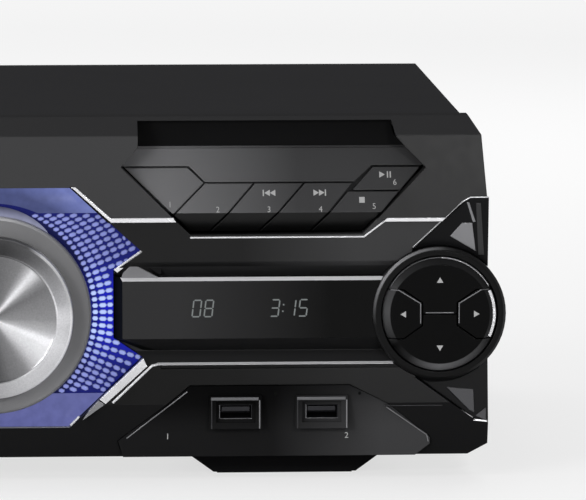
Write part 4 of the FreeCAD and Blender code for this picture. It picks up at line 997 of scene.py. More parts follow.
    def zones(self) -> tuple[list[Point], list[Point]]:
        """Outlines the flat zones.

        Returns:
            The upper zone, with its arch round the dial, and the lower one.
        """
        half, low = self.edge_at(self.zone_top), self.edge_at(self.zone_foot)
        bend = math.acos(self.zone_top / self.arch)
        arch = [(self.arch * math.sin(a), self.arch * math.cos(a))
                for a in np.linspace(-bend, bend, self.steps)]
        heel, crown = self.outline[0], self.outline[-1]
        return ([(-half, self.zone_top), *arch, (half, self.zone_top), crown,
                 (-crown[0], crown[1])],
                [(-heel[0], heel[1]), heel, (low, self.zone_foot), (-low, self.zone_foot)])

    def scatter(self, skin: Skin, centre: np.ndarray, front: float) -> None:
        """Adds every bead, as a small rounded brick.

        Args:
            skin: The lens.
            centre: X and Z of the dial's axis.
            front: Y of the front plane.
        """
        places, along, up = self.beads()
        ring, levels = np.array(self.brick), self.levels
        size = len(ring)
        faces = [(level * size + i, level * size + (i + 1) % size,
                  (level + 1) * size + (i + 1) % size, (level + 1) * size + i)
                 for level in range(len(levels) - 1) for i in range(size)]
        faces.append(tuple(range((len(levels) - 1) * size, len(levels) * size)))
        for side in Side:
            flip = np.array([side.value, 1])
            flat = [places[:, None] + share * (ring[None, :, :1] * along[:, None]
                                               + ring[None, :, 1:] * up[:, None])
                    for share, _ in levels]
            depth = [np.full(layer.shape[:2], front - self.floor - height)
                     for layer, (_, height) in zip(flat, levels)]
            layers = [np.stack([(layer * flip)[..., 0] + centre[0], y,
                                layer[..., 1] + centre[1]], -1)
                      for layer, y in zip(flat, depth)]
            points = np.concatenate(layers, axis=1)
            for bead in points:
                skin.add(bead, faces, self.parts.index("lens_bead"))
        LOG.info("lens: %d beads on each side", len(places))


@dataclass(frozen=True)
class Dial:
    """The turning dial: a lacquered skirt and a spun cap with a sloping rim."""

    skirt: tuple[Point, ...] = ((3.0, 4.7), (39.2, 4.7), (39.5, 4.9), (39.6, 5.3), (39.55, 8.2),
                                (39.3, 8.9), (38.6, 9.5), (38.2, 9.6), (32.7, 10.15),
                                (32.3, 10.2), (3.0, 10.2), (3.0, 4.7))
    cap: tuple[Point, ...] = ((0.0, 10.2), (31.6, 10.2), (32.0, 10.35), (32.2, 10.8),
                              (32.2, 17.6), (32.05, 18.2), (31.6, 18.75), (26.5, 21.75),
                              (26.1, 21.95), (25.75, 21.95), (25.4, 21.6), (25.0, 21.45),
                              (24.6, 21.4), (0.0, 19.9))
    face_from: int = 10

    def build(self, shop: Workshop) -> tuple[bpy.types.Object, bpy.types.Object]:
        """Makes skirt and cap.

        Args:
            shop: Datum and finishes.

        Returns:
            The skirt and the cap.
        """
        centre = (0.0, shop.datum.dial_z)
        skirt = Skin("lacquered_skirt", shop.finishes["skirt"])
        skirt.turned(self.skirt, centre, shop.datum.front)
        cap = Skin("spun_cap", shop.finishes["cap_rim"], shop.finishes["spun_face"])
        slots = [0] * self.face_from + [1] * (len(self.cap) - self.face_from)
        cap.turned(self.cap, centre, shop.datum.front, slots)
        return skirt.build(TURNED), cap.build(TURNED)


@dataclass(frozen=True)
class WindowBar:
    """A gloss black window bar beside the dial, with a painted highlight on its top edge and end
    facets in painted shade.
    """

    inner: float = 48.4
    inner_front: float = 51.9
    outer: float = 160.9
    foot: float = 52.0
    head: float = 82.0
    chin: float = 57.5
    brow: float = 80.6
    rear: float = 2.0
    face: float = 9.0
    toe_start: float = 65.4
    pad_reach: float = 26.8
    steps: int = 24
    foot_lift: float = 0.4
    brow_drop: float = 1.6
    toe: Point = (5.2, 0.2)
    end_rise: Point = (-0.4, 1.6)

    def build(self, shop: Workshop, side: Side) -> bpy.types.Object:
        """Makes the bar.

        Args:
            shop: Datum and finishes.
            side: Which side of the dial.

        Returns:
            The bar.
        """
        skin = shop.skin(f"window_bar_{side.name.lower()}", "window", "painted_highlight_edge",
                         "shade_black")
        levels = [(self.foot, self.rear + self.foot_lift), (self.chin, self.face),
                  (self.brow, self.face), (self.head, self.face - self.brow_drop),
                  (self.head, self.rear)]
        centre = shop.datum.dial_z
        columns = []
        for z, proud in levels:
            share = (proud - self.rear) / (self.face - self.rear)
            inner = self.inner + (self.inner_front - self.inner) * share
            if z < self.chin:
                inner = self.toe_start
            reach = self.pad_reach**2 - (z - centre) ** 2
            outer = min(self.outer, PAD_CENTRE - math.sqrt(max(reach, 0)))
            along = np.linspace(inner, outer, self.steps) * side.value
            columns.append(standing(np.stack([along, np.full(self.steps, z)], -1),
                                    shop.datum.front - proud))
        rows = np.stack(columns)
        skin.grid(rows[:3], 0)
        # The top chamfer takes a light finish: a painted highlight.
        skin.grid(rows[2:4], 1)
        skin.grid(rows[3:], 0)
        self.close_end(skin, rows, shop.datum.front)
        return skin.build(FACETED)

    def close_end(self, skin: Skin, rows: np.ndarray, front: float) -> None:
        """Adds the facets at the bar's inner end.

        Args:
            skin: The bar.
            rows: Points of the bar by level and place along it.
            front: Y of the front plane.
        """
        sign = np.sign(rows[0, 0, 0])
        rear_top = np.array([self.inner * sign, front - self.rear, self.head + self.end_rise[1]])
        rear_low = np.array([self.inner * sign, front - self.rear,
                             self.chin + self.end_rise[0]])
        toe = rows[0, 0] - np.array([sign * self.toe[0], 0, -self.toe[1]])
        low, high, chamfer, back = rows[1, 0], rows[2, 0], rows[3, 0], rows[4, 0]
        skin.add([rear_low, low, high, chamfer, back, rear_top], [(0, 1, 2, 3, 5), (3, 4, 5)], 2)
        skin.add([rear_low, toe, rows[0, 0], low], [(0, 1, 3), (1, 2, 3)], 2)


@dataclass(frozen=True)
class Segments:
    """Seven-bar figures for the display.

    Attributes:
        height: Height in mm; width and the thickness of a bar follow.
        lean: Shift to the right over the height, as a share of it.
        pitch: Way from one figure to the next in widths, and after a colon in bars.
        bars: Which bars each figure has, and ends where every bar runs.
    """

    height: float = 6.6
    width: float = 3.1
    bar: float = 0.55
    lean: float = 0.12
    pitch: Point = (1.55, 3)
    gap: float = 0.7
    dots: Point = (0.6, 1.4)
    bars: ClassVar[dict[str, str]] = {"0": "abcdef", "1": "bc", "3": "abcdg", "5": "acdfg",
                                      "8": "abcdefg"}
    ends: ClassVar[dict[str, tuple[Point, Point]]] = {
        "a": ((0, 2), (1, 2)), "b": ((1, 2), (1, 1)), "c": ((1, 1), (1, 0)),
        "d": ((0, 0), (1, 0)), "e": ((0, 1), (0, 0)), "f": ((0, 2), (0, 1)),
        "g": ((0, 1), (1, 1))}

    def spot(self, corner: Point, x: float, z: float) -> np.ndarray:
        """Gives the place of one corner of a figure."""
        up = corner[1] * self.height / 2
        return np.array([x + corner[0] * self.width + up * self.lean, z + up])

    def write(self, skin: Skin, text: str, x: float, z: float, y: float) -> None:
        """Adds a row of figures.

        Args:
            skin: The piece that takes them.
            text: Figures and colons.
            x: Left end in mm.
            z: Foot in mm.
            y: Depth in mm.
        """
        square = self.bar * 0.55 * np.array([(-1, -1), (1, -1), (1, 1), (-1, 1)])
        for letter in text:
            if letter == ":":
                for level in self.dots:
                    dot = self.spot((0, level), x, z) + square
                    skin.add(standing(dot, y), [range(len(dot))])
                x += self.bar * self.pitch[1]
                continue
            for name in self.bars[letter]:
                first, second = (self.spot(end, x, z) for end in self.ends[name])
                along = (second - first) / np.linalg.norm(second - first) * self.bar
                across = np.array([-along[1], along[0]]) / 2
                first, second = first + along * self.gap, second - along * self.gap
                corners = np.array([first - across, second - across, second + along / 2,
                                    second + across, first + across, first - along / 2])
                skin.add(standing(corners, y), [range(len(corners))])
            x += self.width * self.pitch[0]


@dataclass(frozen=True)
class Wings:
    """Faceted corner pieces above and below a key pad.

    Attributes:
        pad_reach: Radius of the hollow that each piece leaves round the pad.
        upper_span: Heights between which the upper piece's face slopes, from and to the
            two heights proud of the front plane; the lower piece has its own.
        facets: Outlines by finish of facets in painted light and shade, and lines with their
            widths, painted highlights; crest is the painted highlight along the upper piece.
        facet_fit: Lift, chamfer and depth of a facet.
    """

    pad_reach: float = 26.75
    left: float = 167.8
    low_left: float = 169.0
    right: float = 198.2
    upper: tuple[Point, ...] = ((167.8, 93.1), (188.1, 111.6), (191.1, 113.6), (198.2, 113.6))
    lower: tuple[Point, ...] = ((198.2, 23.0), (193.2, 24.1), (169.0, 41.5))
    upper_proud: tuple[float, float] = (5, 9)
    lower_proud: tuple[float, float] = (9, 5)
    upper_span: tuple[float, float] = (86.0, 113.6)
    lower_span: tuple[float, float] = (23.0, 50.0)
    parts: ClassVar[tuple[str, ...]] = ("gloss_black", "painted_highlight_edge", "painted_lit_facet",
                                        "painted_mid_facet", "painted_dim_facet")
    facets: ClassVar[dict[str, tuple[tuple[Point, ...], ...]]] = {
        "painted_lit_facet": (
            ((182.8, 97.8), (187.6, 103.2), (191.6, 103.2), (193.2, 91.6)),
            ((189.3, 111.6), (190.3, 111.6), (193.0, 103.6), (191.9, 103.4))),
        "painted_mid_facet": (
            ((181.4, 37.0), (192.4, 36.2), (192.7, 26.8), (190.6, 27.8)),
            ((192.9, 25.6), (197.4, 28.9), (197.4, 23.7))),
        "painted_dim_facet": (
            ((193.0, 111.3), (195.0, 111.3), (196.6, 90.0), (194.2, 90.0)),)}
    lines: ClassVar[tuple[tuple[float, tuple[Point, ...]], ...]] = (
        (0.5, ((171.0, 39.4), (180.2, 31.9))),
        (1.5, ((180.2, 31.7), (191.7, 24.4))),
        (0.7, ((192.2, 24.0), (197.8, 23.4))))
    crest: ClassVar[tuple[Point, ...]] = (
        (167.9, 93.5), (180.3, 105.0), (180.7, 105.3), (187.8, 112.0), (190.8, 113.6),
        (198.0, 113.6))
    crest_width: ClassVar[float] = 0.45
    chamfer: ClassVar[float] = 0.25
    line_lift: ClassVar[float] = 0.4
    facet_fit: ClassVar[Place] = (0.35, 0.12, 1.0)

    def arc(self, start: float, end: float, centre: float, up: int) -> list[Point]:
        """Gives the edge along the pad, as an arc about the pad's middle.

        Args:
            start: Place across where it starts, in mm.
            end: Place across where it ends.
            centre: Height of the pad's middle.
            up: 1 above the pad and -1 below it.

        Returns:
            Points of the arc.
        """
        across = np.linspace(start, end, 14)
        rise = np.sqrt(self.pad_reach**2 - (across - PAD_CENTRE) ** 2)
        return [(float(x), float(centre + up * dz)) for x, dz in zip(across, rise)]

    def build(self, shop: Workshop, side: Side) -> bpy.types.Object:
        """Makes both corner pieces of one side.

        Args:
            shop: Datum and finishes.
            side: Which end of the front.

        Returns:
            The pieces as one object.
        """
        skin = shop.skin(f"corner_facets_{side.name.lower()}", *self.parts)
        centre = shop.datum.dial_z
        upper = list(self.upper) + self.arc(self.right, self.left, centre, 1)
        lower = list(self.lower) + self.arc(self.low_left, self.right, centre, -1)
        for outline, slope in ((upper, self.slope(True)), (lower, self.slope(False))):
            flat = np.array(shop.mirrored(outline, side))
            shop.tile(skin, flat, 0, lift=0.0, edge=self.chamfer, proud=slope(flat))
        self.accents(shop, skin, side)
        return skin.build(FACETED)

    def slope(self, above: bool) -> Heights:
        """Makes the rule for a piece's height, a straight slope between two levels.

        Args:
            above: Whether the upper piece is meant, or the lower one.

        Returns:
            What gives the height above the front plane at places on the piece.
        """
        span, proud = ((self.upper_span, self.upper_proud) if above
                       else (self.lower_span, self.lower_proud))
        return lambda flat: np.interp(flat[:, 1], span, proud)

    def accents(self, shop: Workshop, skin: Skin, side: Side) -> None:
        """Adds the painted highlights: light edges, and facets in light, mid and dark greys.

        Args:
            shop: Datum and finishes.
            skin: The corner pieces.
            side: Which end of the front.
        """
        middle = shop.datum.dial_z
        edge = self.parts.index("painted_highlight_edge")
        for finish, facets in self.facets.items():
            for facet in facets:
                face = self.slope(facet[0][1] > middle)(np.array(facet))
                shop.tile(skin, shop.mirrored(facet, side), self.parts.index(finish),
                          *self.facet_fit, face)
        for width, line in self.lines:
            shop.strip(skin, shop.mirrored(line, side), width, edge, self.line_lift,
                       proud=self.slope(line[0][1] > middle))

        def crest_height(flat: np.ndarray) -> np.ndarray:
            """Gives the height of the piece or the moulding, whichever is more."""
            return np.maximum(self.slope(True)(flat), shop.moulding.at(flat[:, 1]))

        shop.strip(skin, shop.mirrored(self.crest, side), self.crest_width, edge,
                   self.line_lift, proud=crest_height)


@dataclass(frozen=True)
class Trims:
    """Bright strips round the front: chrome trims, with painted highlights and tiles of painted
    shade.

    Attributes:
        lens_edge: Strip from the lens's upper corner to the deck; left_edge and
            left_ledge stand for it on the drawer's side.
        plate: Height of the band on which the ledges lie, above the front plane.
        raised: How far the strips stand above the face they lie on.
        facet_fit: Lift, chamfer and depth of a facet.
        facets: Finish, height and outline of every facet beside the lens; notch and sweep are
            chrome, flare, tail and heel painted highlights, shade and lens_shade painted shade.
            Without a height it follows the moulding.
    """

    lens_edge: tuple[Point, ...] = ((31.7, 118.4), (33.4, 118.4), (47.4, 106.1), (72.2, 106.1),
                                    (73.3, 104.3), (47.5, 104.3))
    under_deck: tuple[Point, ...] = ((79.0, 98.3), (148.2, 98.3), (156.6, 104.6))
    right_ledge: tuple[Point, ...] = ((157.4, 105.6), (181.0, 105.6), (179.4, 104.1),
                                      (156.0, 104.1))
    left_ledge: tuple[Point, ...] = ((47.4, 106.1), (180.4, 106.1), (178.6, 104.3),
                                     (47.5, 104.3))
    left_edge: tuple[Point, ...] = ((31.7, 118.4), (33.4, 118.4), (47.4, 106.1), (47.5, 104.3))
    foot: tuple[Point, ...] = ((0.0, 22.15), (30.9, 22.15))
    lower_line: tuple[Point, ...] = ((47.8, 32.3), (63.6, 46.9), (66.2, 47.5), (160.0, 47.5))
    plate: float = 10.0
    raised: float = 0.6
    deck_width: float = 0.7
    lower_width: float = 0.9
    foot_width: float = 0.4
    foot_lift: float = 0.3
    facet_fit: Place = (0.5, 0.15, 2.5)
    parts: ClassVar[tuple[str, ...]] = ("chrome", "gloss_black", "painted_lit_facet")
    facets: ClassVar[dict[str, tuple[str, float | tuple[float, ...] | None,
                                     tuple[Point, ...]]]] = {
        "notch": ("chrome", 5.0, ((48.5, 84.9), (59.8, 93.0), (60.7, 91.8), (50.0, 83.7))),
        "shade": ("gloss_black", 5.0, ((58.6, 88.1), (62.4, 91.0), (67.2, 88.6), (67.6, 83.0),
                                       (66.6, 82.8))),
        "lens_shade": ("gloss_black", (8.6, 8.6, 10, 10), (
            (30.9, 118.4), (31.6, 118.4), (47.4, 104.3), (46.1, 104.3))),
        "flare": ("painted_lit_facet", (7.2, 6.4, 5.2, 7.2), (
            (51.6, 81.8), (52.2, 83.6), (56.0, 87.4), (66.6, 81.8))),
        "sweep": ("chrome", (10.3, 10.6, 12.1, 11.9), (
            (60.2, 49.9), (61.6, 46.7), (45.0, 31.9), (42.6, 33.7))),
        "tail": ("painted_lit_facet", 12.0, ((42.2, 33.4), (44.6, 31.6), (35.8, 25.4), (38.6, 29.6))),
        "heel": ("chrome", None, ((31.2, 22.6), (34.8, 26.4), (34.3, 26.9), (30.7, 23.2)))}

    def build(self, shop: Workshop, side: Side) -> bpy.types.Object:
        """Makes the strips of one side.

        Args:
            shop: Datum and finishes.
            side: Right, with the sampler deck, or left, under the drawer.

        Returns:
            The strips as one object.
        """
        skin = shop.skin(f"bright_strips_{side.name.lower()}", *self.parts)
        right = side is Side.RIGHT
        edge, ledge = ((self.lens_edge, self.right_ledge) if right
                       else (self.left_edge, self.left_ledge))
        heights = [float(shop.moulding.at(z)) for _, z in edge[:2]]
        shop.tile(skin, shop.mirrored(edge, side), 0, self.raised,
                  proud=heights + [self.plate] * (len(edge) - 2))
        if right:
            shop.strip(skin, self.under_deck, self.deck_width, 0, self.raised, side=-0.5)
        shop.tile(skin, shop.mirrored(ledge, side), 0, self.raised, proud=self.plate)
        for finish, proud, outline in self.facets.values():
            shop.tile(skin, shop.mirrored(outline, side), self.parts.index(finish),
                      *self.facet_fit, proud)
        shop.strip(skin, shop.mirrored(self.lower_line, side), self.lower_width)
        # The light line along the lens's foot is a painted highlight.
        shop.strip(skin, shop.mirrored(self.foot, side), self.foot_width,
                   self.parts.index("painted_lit_facet"), self.foot_lift)
        return skin.build(FACETED)


@dataclass(frozen=True)
class Lines:
    """Painted highlights along the edges of the pads, the sockets and the bays, and painted shade
    in holes.

    Attributes:
        pad: Edge of a side key from the pad's middle, for the outer one.
        seam: Half length of the line between the upper and the lower key.
        arcs: Key, finish, two azimuths in degrees, radius and width of every painted highlight
            arc.
        sockets: Left and right of every frame of painted highlights, from socket_top to
            socket_foot.
        corner: What the frame's corners leave free below the top and at its two ends.
        frame_widths: Widths of a frame's left, top and right edge.
        lip: Half width and height of the painted highlight inside a frame, about socket_rise.
        plate: Heights above the shelf between which the bays' plates rise.
    """

    pad: tuple[Point, ...] = ((19.6, 9.7), (16.4, 9.7), (7.7, 4.3), (7.7, -3.8))
    seam: float = 5.6
    arcs: tuple[tuple[str, str, float, float, float, float], ...] = (
        ("upper", "painted_lit_facet", 88, 151, 22.5, 0.35),
        ("upper", "painted_highlight_edge", 29, 88, 22.5, 0.45),
        ("outer", "painted_highlight_edge", -25, 25, 21.8, 1.3))
    sockets: tuple[tuple[float, float], ...] = ((87.1, 106.7), (121.4, 141.5))
    socket_top: float = 34.3
    socket_foot: float = 21.6
    socket_rise: float = 18.75
    arc_proud: float = 12.0
    bay_edges: tuple[tuple[Point, ...], ...] = (
        ((53.4, 17.3), (77.6, 36.5)), ((157.2, 29.7), (173.6, 17.9), (174.3, 15.0)))
    holes: tuple[float, ...] = (112.8, 146.4)
    hole_z: float = 35.4
    hole_half: Point = (0.6, 0.7)
    hole_proud: float = 11.4
    hole_fit: Place = (0.1, 0.05, 1.0)
    thin: float = 0.45
    corner: Place = (1.2, 0.1, 0.7)
    frame_widths: Place = (0.35, 1.3, 0.6)
    frame_proud: float = 13.0
    lip: Point = (6.5, 2.9)
    lip_proud: float = 11.0
    plate: tuple[Point, Point] = ((9.5, 38.7), (6, 12))
    crease: tuple[Point, ...] = ((156.4, 30.3), (179.6, 30.3))

    def on_pads(self, shop: Workshop, dish: Heights) -> None:
        """Adds the painted highlights along the keys' edges; each rides on its key.

        Args:
            shop: Datum and finishes.
            dish: Height of the keys' faces by distance from the pad's middle.
        """
        z = shop.datum.dial_z
        middle = (PAD_CENTRE, z)
        rows = [("outer", "painted_lit_facet", np.array(self.pad) + middle, self.thin),
                ("inner", "painted_lit_facet", np.array(self.pad) * (-1, 1) + middle, self.thin),
                ("upper", "painted_lit_facet", np.array([(-self.seam, 0.5), (self.seam, 0.5)])
                 + middle, 0.4)]
        for part, finish, start, end, radius, width in self.arcs:
            turn = np.radians(np.linspace(start, end, 20))
            rows.append((part, finish, np.stack([radius * np.cos(turn), radius * np.sin(turn)],
                                                -1) + middle, width))

        def face(flat: np.ndarray) -> np.ndarray:
            """Gives the height of the dished keys at places on the front."""
            return dish(np.hypot(np.abs(flat[:, 0]) - PAD_CENTRE, flat[:, 1] - z))

        for side in Side:
            for number, (part, finish, line, width) in enumerate(rows):
                skin = shop.skin(f"edge_{side.name.lower()}_{number}", finish)
                shop.strip(skin, shop.mirrored(line, side), width, 0, 0.15,
                           proud=face if width < 1 else self.arc_proud)
                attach(skin.build(), f"{side.name.lower()}_pad_{part}_key")

    def on_bays(self, shop: Workshop) -> None:
        """Adds the painted highlights on the sockets' frames and the bays' edges, and painted
        shade in holes.

        Args:
            shop: Datum and finishes.
        """
        skin = shop.skin("bay_lines", "painted_lit_facet", "painted_mid_facet", "painted_frame_top", "shade_black")
        light, mid, upper, dark = range(4)
        turn = np.linspace(0, 2 * math.pi, 12, endpoint=False)
        rim = np.stack([np.cos(turn), np.sin(turn)], -1) * self.hole_half
        # Dark tiles in the holes: painted shade.
        for x in self.holes:
            shop.tile(skin, rim + (x, self.hole_z), dark, *self.hole_fit, self.hole_proud)
        top, foot = self.socket_top, self.socket_foot
        drop, start, end = self.corner
        # Frames lightest on the right, less on top, least on the left: painted highlights.
        for low, high in self.sockets:
            edges = (((low, foot), (low, top - drop)), ((low - start, top), (high - end, top)),
                     ((high, top - drop), (high, foot)))
            for line, width, slot in zip(edges, self.frame_widths, (mid, upper, light)):
                shop.strip(skin, line, width, slot, 0.15, -0.5, self.frame_proud)
            middle = ((low + high) / 2, shop.datum.base + self.socket_rise)
            lip = np.array([(-1, 1), (-1, -1), (1, -1)]) * self.lip + middle
            shop.strip(skin, lip, 0.5, light, 0.1, proud=self.lip_proud)

        def face(flat: np.ndarray) -> np.ndarray:
            """Gives the height of the bay's plate or the moulding, whichever is more."""
            return np.maximum(np.interp(flat[:, 1], *self.plate),
                              shop.moulding.at(flat[:, 1]))

        for side in Side:
            for line in self.bay_edges:
                shop.strip(skin, shop.mirrored(line, side), self.thin, light, 0.25, proud=face)
            shop.strip(skin, shop.mirrored(self.crease, side), 0.3, mid, 0.1)
        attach(skin.build(), "console")


def lettering(shop: Workshop, text: str, height: float, spot: Point, proud: Heights,
              name: str) -> bpy.types.Object:
    """Makes a plain numeral that lies on the front.

    Args:
        shop: Datum and finishes.
        text: The numeral.
        height: Height in mm.
        spot: X and Z of its middle in mm.
        proud: Gives the height of the face it lies on, by Z in mm.
        name: The object's name.

    Returns:
        A flat mesh.
    """
    curve = bpy.data.curves.new(name, "FONT")
    curve.body = text
    curve.size = height * FONT_SCALE * MM
    curve.align_x = curve.align_y = "CENTER"
    draft = bpy.data.objects.new(name + "_draft", curve)
    bpy.context.scene.collection.objects.link(draft)
    bpy.context.view_layer.update()
    mesh = bpy.data.meshes.new_from_object(draft.evaluated_get(
        bpy.context.evaluated_depsgraph_get()))
    bpy.data.objects.remove(draft)
    bpy.data.curves.remove(curve)
    points = np.empty(len(mesh.vertices) * 3)
    mesh.vertices.foreach_get("co", points)
    flat = points.reshape(-1, 3)[:, :2] / MM + spot
    placed = standing(flat, shop.datum.front - proud(flat[:, 1])) * MM
    mesh.vertices.foreach_set("co", placed.ravel())
    mesh.materials.clear()
    mesh.materials.append(shop.finishes["marking"])
    mesh.name = name
    made = bpy.data.objects.new(name, mesh)
    bpy.context.scene.collection.objects.link(made)
    return made


@dataclass(frozen=True)
class Deck:
    """Where the sloping faces of the sampler keys lie."""

    brow: Point = (132.3, -6.0)
    lip: Point = (108.0, 9.0)
    marks: tuple[tuple[str, float, float], ...] = (
        ("1", 71.0, 111.0), ("2", 90.0, 109.0), ("3", 110.4, 109.0), ("4", 131.0, 109.0),
        ("5", 152.4, 110.0), ("6", 161.0, 119.0))

    signs: ClassVar[dict[str, tuple[tuple[str, float, float], ...]]] = {
        "3": (("back", -0.6, 0), ("back", 1.6, 0), ("bar", -2.1, 0)),
        "4": (("play", -1.6, 0), ("play", 0.6, 0), ("bar", 2.1, 0)),
        "5": (("stop", 0, 0),), "6": (("play", -1.6, 0), ("bar", 0.6, 0), ("bar", 1.7, 0))}
    sign_spots: ClassVar[dict[str, Point]] = {
        "3": (110.4, 115.3), "4": (131.0, 115.3), "5": (147.6, 112.5), "6": (157.6, 122.0)}
    shapes: ClassVar[dict[str, tuple[Point, ...]]] = {
        "play": ((-1.1, -1.2), (1.1, 0), (-1.1, 1.2)),
        "back": ((1.1, -1.2), (-1.1, 0), (1.1, 1.2)),
        "bar": ((-0.25, -1.2), (0.25, -1.2), (0.25, 1.2), (-0.25, 1.2)),
        "stop": ((-1.1, -1.1), (1.1, -1.1), (1.1, 1.1), (-1.1, 1.1))}
    lift: ClassVar[float] = 0.06

    def proud(self, z: np.ndarray) -> np.ndarray:
        """Gives the height of the marks on the keys' sloping faces."""
        share = (self.brow[0] - z) / (self.brow[0] - self.lip[0])
        return self.brow[1] + (self.lip[1] - self.brow[1]) * share + self.lift

    def symbol(self, number: str) -> list[np.ndarray]:
        """Gives the polygons of one key's generic sign."""
        return [np.array(self.shapes[shape]) + (dx, dz)
                for shape, dx, dz in self.signs.get(number, ())]


@dataclass(frozen=True)
class Markings:
    """Numerals and signs on the sampler keys, the pads and under the USB sockets.

    Attributes:
        sockets: Numeral and middle of every mark under a socket, at socket_proud.
        spots: Place of every pad key's arrow from the pad's middle, and its turn.
    """

    shop: Workshop
    deck: Deck
    sockets: ClassVar[tuple[tuple[str, Point], ...]] = (("1", (69.8, 17.9)),
                                                        ("2", (141.4, 17.9)))
    socket_proud: ClassVar[float] = 8.1
    heights: ClassVar[Point] = (2.2, 2.4)
    arrow: ClassVar[tuple[Point, ...]] = ((1.3, 0), (-0.9, 1.3), (-0.9, -1.3))
    spots: ClassVar[dict[str, tuple[float, float, float]]] = {
        "upper": (0, 13.5, 90), "lower": (0, -13.5, 270), "outer": (14.5, 0, 0),
        "inner": (-14.5, 0, 180)}
    lift: ClassVar[float] = 0.08

    def sign(self, name: str, shapes: Sequence[np.ndarray], spot: Point,
             proud: Heights) -> bpy.types.Object:
        """Makes a sign of flat polygons.

        Args:
            name: The object's name.
            shapes: Polygons about the sign's middle.
            spot: X and Z of the middle in mm.
            proud: Gives the height of the face by Z in mm.

        Returns:
            A flat mesh.
        """
        skin = self.shop.skin(name, "marking")
        for shape in shapes:
            flat = shape + spot
            skin.add(standing(flat, self.shop.datum.front - proud(flat[:, 1])),
                     [range(len(flat))])
        return skin.build()

    def on_keys(self) -> None:
        """Marks every sampler key; each mark rides on its key."""
        for number, *spot in self.deck.marks:
            body = f"sampler_key_{number}"
            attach(lettering(self.shop, number, self.heights[0], spot, self.deck.proud,
                              f"numeral_{number}"), body)
            shapes = self.deck.symbol(number)
            if shapes:
                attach(self.sign(f"sign_{number}", shapes, self.deck.sign_spots[number],
                                  self.deck.proud), body)

    def on_bay(self) -> None:
        """Numbers the USB sockets."""
        for text, spot in self.sockets:
            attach(lettering(self.shop, text, self.heights[1], spot,
                              lambda z: np.full(len(z), self.socket_proud),
                              f"socket_numeral_{text}"), "console")

    def on_pads(self, dish: Heights) -> None:
        """Marks every pad key with a small arrow that points outwards.

        Args:
            dish: Height of the keys' faces by distance from the pad's middle.
        """
        for side in Side:
            for part, (du, dv, turn) in self.spots.items():
                angle = math.radians(turn)
                spin = np.array([[math.cos(angle), math.sin(angle)],
                                 [-math.sin(angle), math.cos(angle)]])
                shape = (np.array(self.arrow) @ spin + (du, dv)) * (side.value, 1)
                rise = float(dish(math.hypot(du, dv))) + self.lift
                made = self.sign(f"arrow_{side.name.lower()}_{part}", [shape],
                                 (PAD_CENTRE * side.value, self.shop.datum.dial_z),
                                 lambda z: np.full(len(z), rise))
                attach(made, f"{side.name.lower()}_pad_{part}_key")


@dataclass(frozen=True)
class LitLens:
    """The clear plastic of the lens, lit blue from behind.

    Attributes:
        near: Hue at the height of the dial's axis.
        far: Hue far above and below it.
        strength: Light given off.
        dial_z: Height of the dial's axis in mm.
        dim: Share of the light at the start of the span; below 1 it paints shade next to the dial.
        span: Radii in mm from the axis between which the light rises to full.
        waist: Heights in metres off the axis between which the hue changes.
    """

    name: str
    near: Colour
    far: Colour
    strength: float
    dial_z: float
    dim: float
    span: tuple[float, float]
    roughness: float
    waist: ClassVar[Point] = (0.006, 0.022)

    def build(self) -> bpy.types.Material:
        """Makes the material.

        The light is the product of a rise with the radius, soft patches, and how far the
        surface faces the front, so that the beads' flanks stay dark as painted shade.

        Returns:
            A gloss surface that gives off light.
        """
        nodes = Nodes(self.name)
        way = nodes.mapped((1, 0, 1), (0, 0, self.dial_z * MM))
        hue = nodes.ramp(nodes.worked("ABSOLUTE", nodes.parts(way)["Z"]), *self.waist, 0, 1)
        nodes.link(nodes.blend(hue, self.near, self.far), nodes.shader.inputs["Emission Color"])
        rise = nodes.ramp(nodes.span(way), self.span[0] * MM, self.span[1] * MM, self.dim, 1)
        facing = nodes.parts(nodes.add("NewGeometry").outputs["Normal"])
        # Painted shade: less light where the surface turns away from the front.
        flank = nodes.ramp(facing["Y"], -0.93, -0.4, 1, 0.2)
        light = nodes.ramp(nodes.noise(300, 2), 0.25, 0.75, self.strength * 0.88,
                           self.strength * 1.1)
        for share in (rise, flank):
            light = nodes.worked("MULTIPLY", light, share)
        nodes.link(light, nodes.shader.inputs["Emission Strength"])
        nodes.set(Base_Color=(0.004, 0.006, 0.03, 1), Roughness=self.roughness,
                  Specular_IOR_Level=0.1)
        return nodes.material


# Greys of the dial's and the pads' rings by azimuth in degrees, counted from the right
# upwards. They were set by reading single tones round the photograph's dial and
# pad. They stay in the room when the dial turns, as a sheen does.
# Painted highlight: the bright wedges on the spun face, the same on both halves.
WEDGE_HIGHLIGHT_SHARES = ((-84, 0.16), (-72, 0.26), (-58, 0.27), (-28, 0.41), (-20, 0.66), (-11, 0.47),
               (0, 0.28), (20, 0.26), (31, 0.21), (39, 0.28), (50, 0.50), (62, 0.28))
FACE_HIGHLIGHT_SHARES = tuple(((azimuth + turn + 180) % 360 - 180, share) for turn in (0, 180)
                    for azimuth, share in WEDGE_HIGHLIGHT_SHARES)
# Painted reflections on the cap's sloping rim, and a painted highlight arc at its edge.
RIM_REFLECTION_SHARES = ((-90, 0.42), (-60, 0.65), (-40, 0.68), (-22, 0.80), (-8, 0.68), (8, 0.90),
              (20, 0.84), (30, 0.63), (50, 0.31), (60, 0.21), (80, 0.12), (110, 0.14),
              (178, 0.5), (-115, 0.34))
ARC_HIGHLIGHT_SHARES = ((-90, 0.42), (-22, 0.90), (10, 1.0), (50, 1.0), (57, 0.5), (63, 0.16), (90, 0.1),
              (120, 0.15), (178, 0.45), (-135, 0.38))
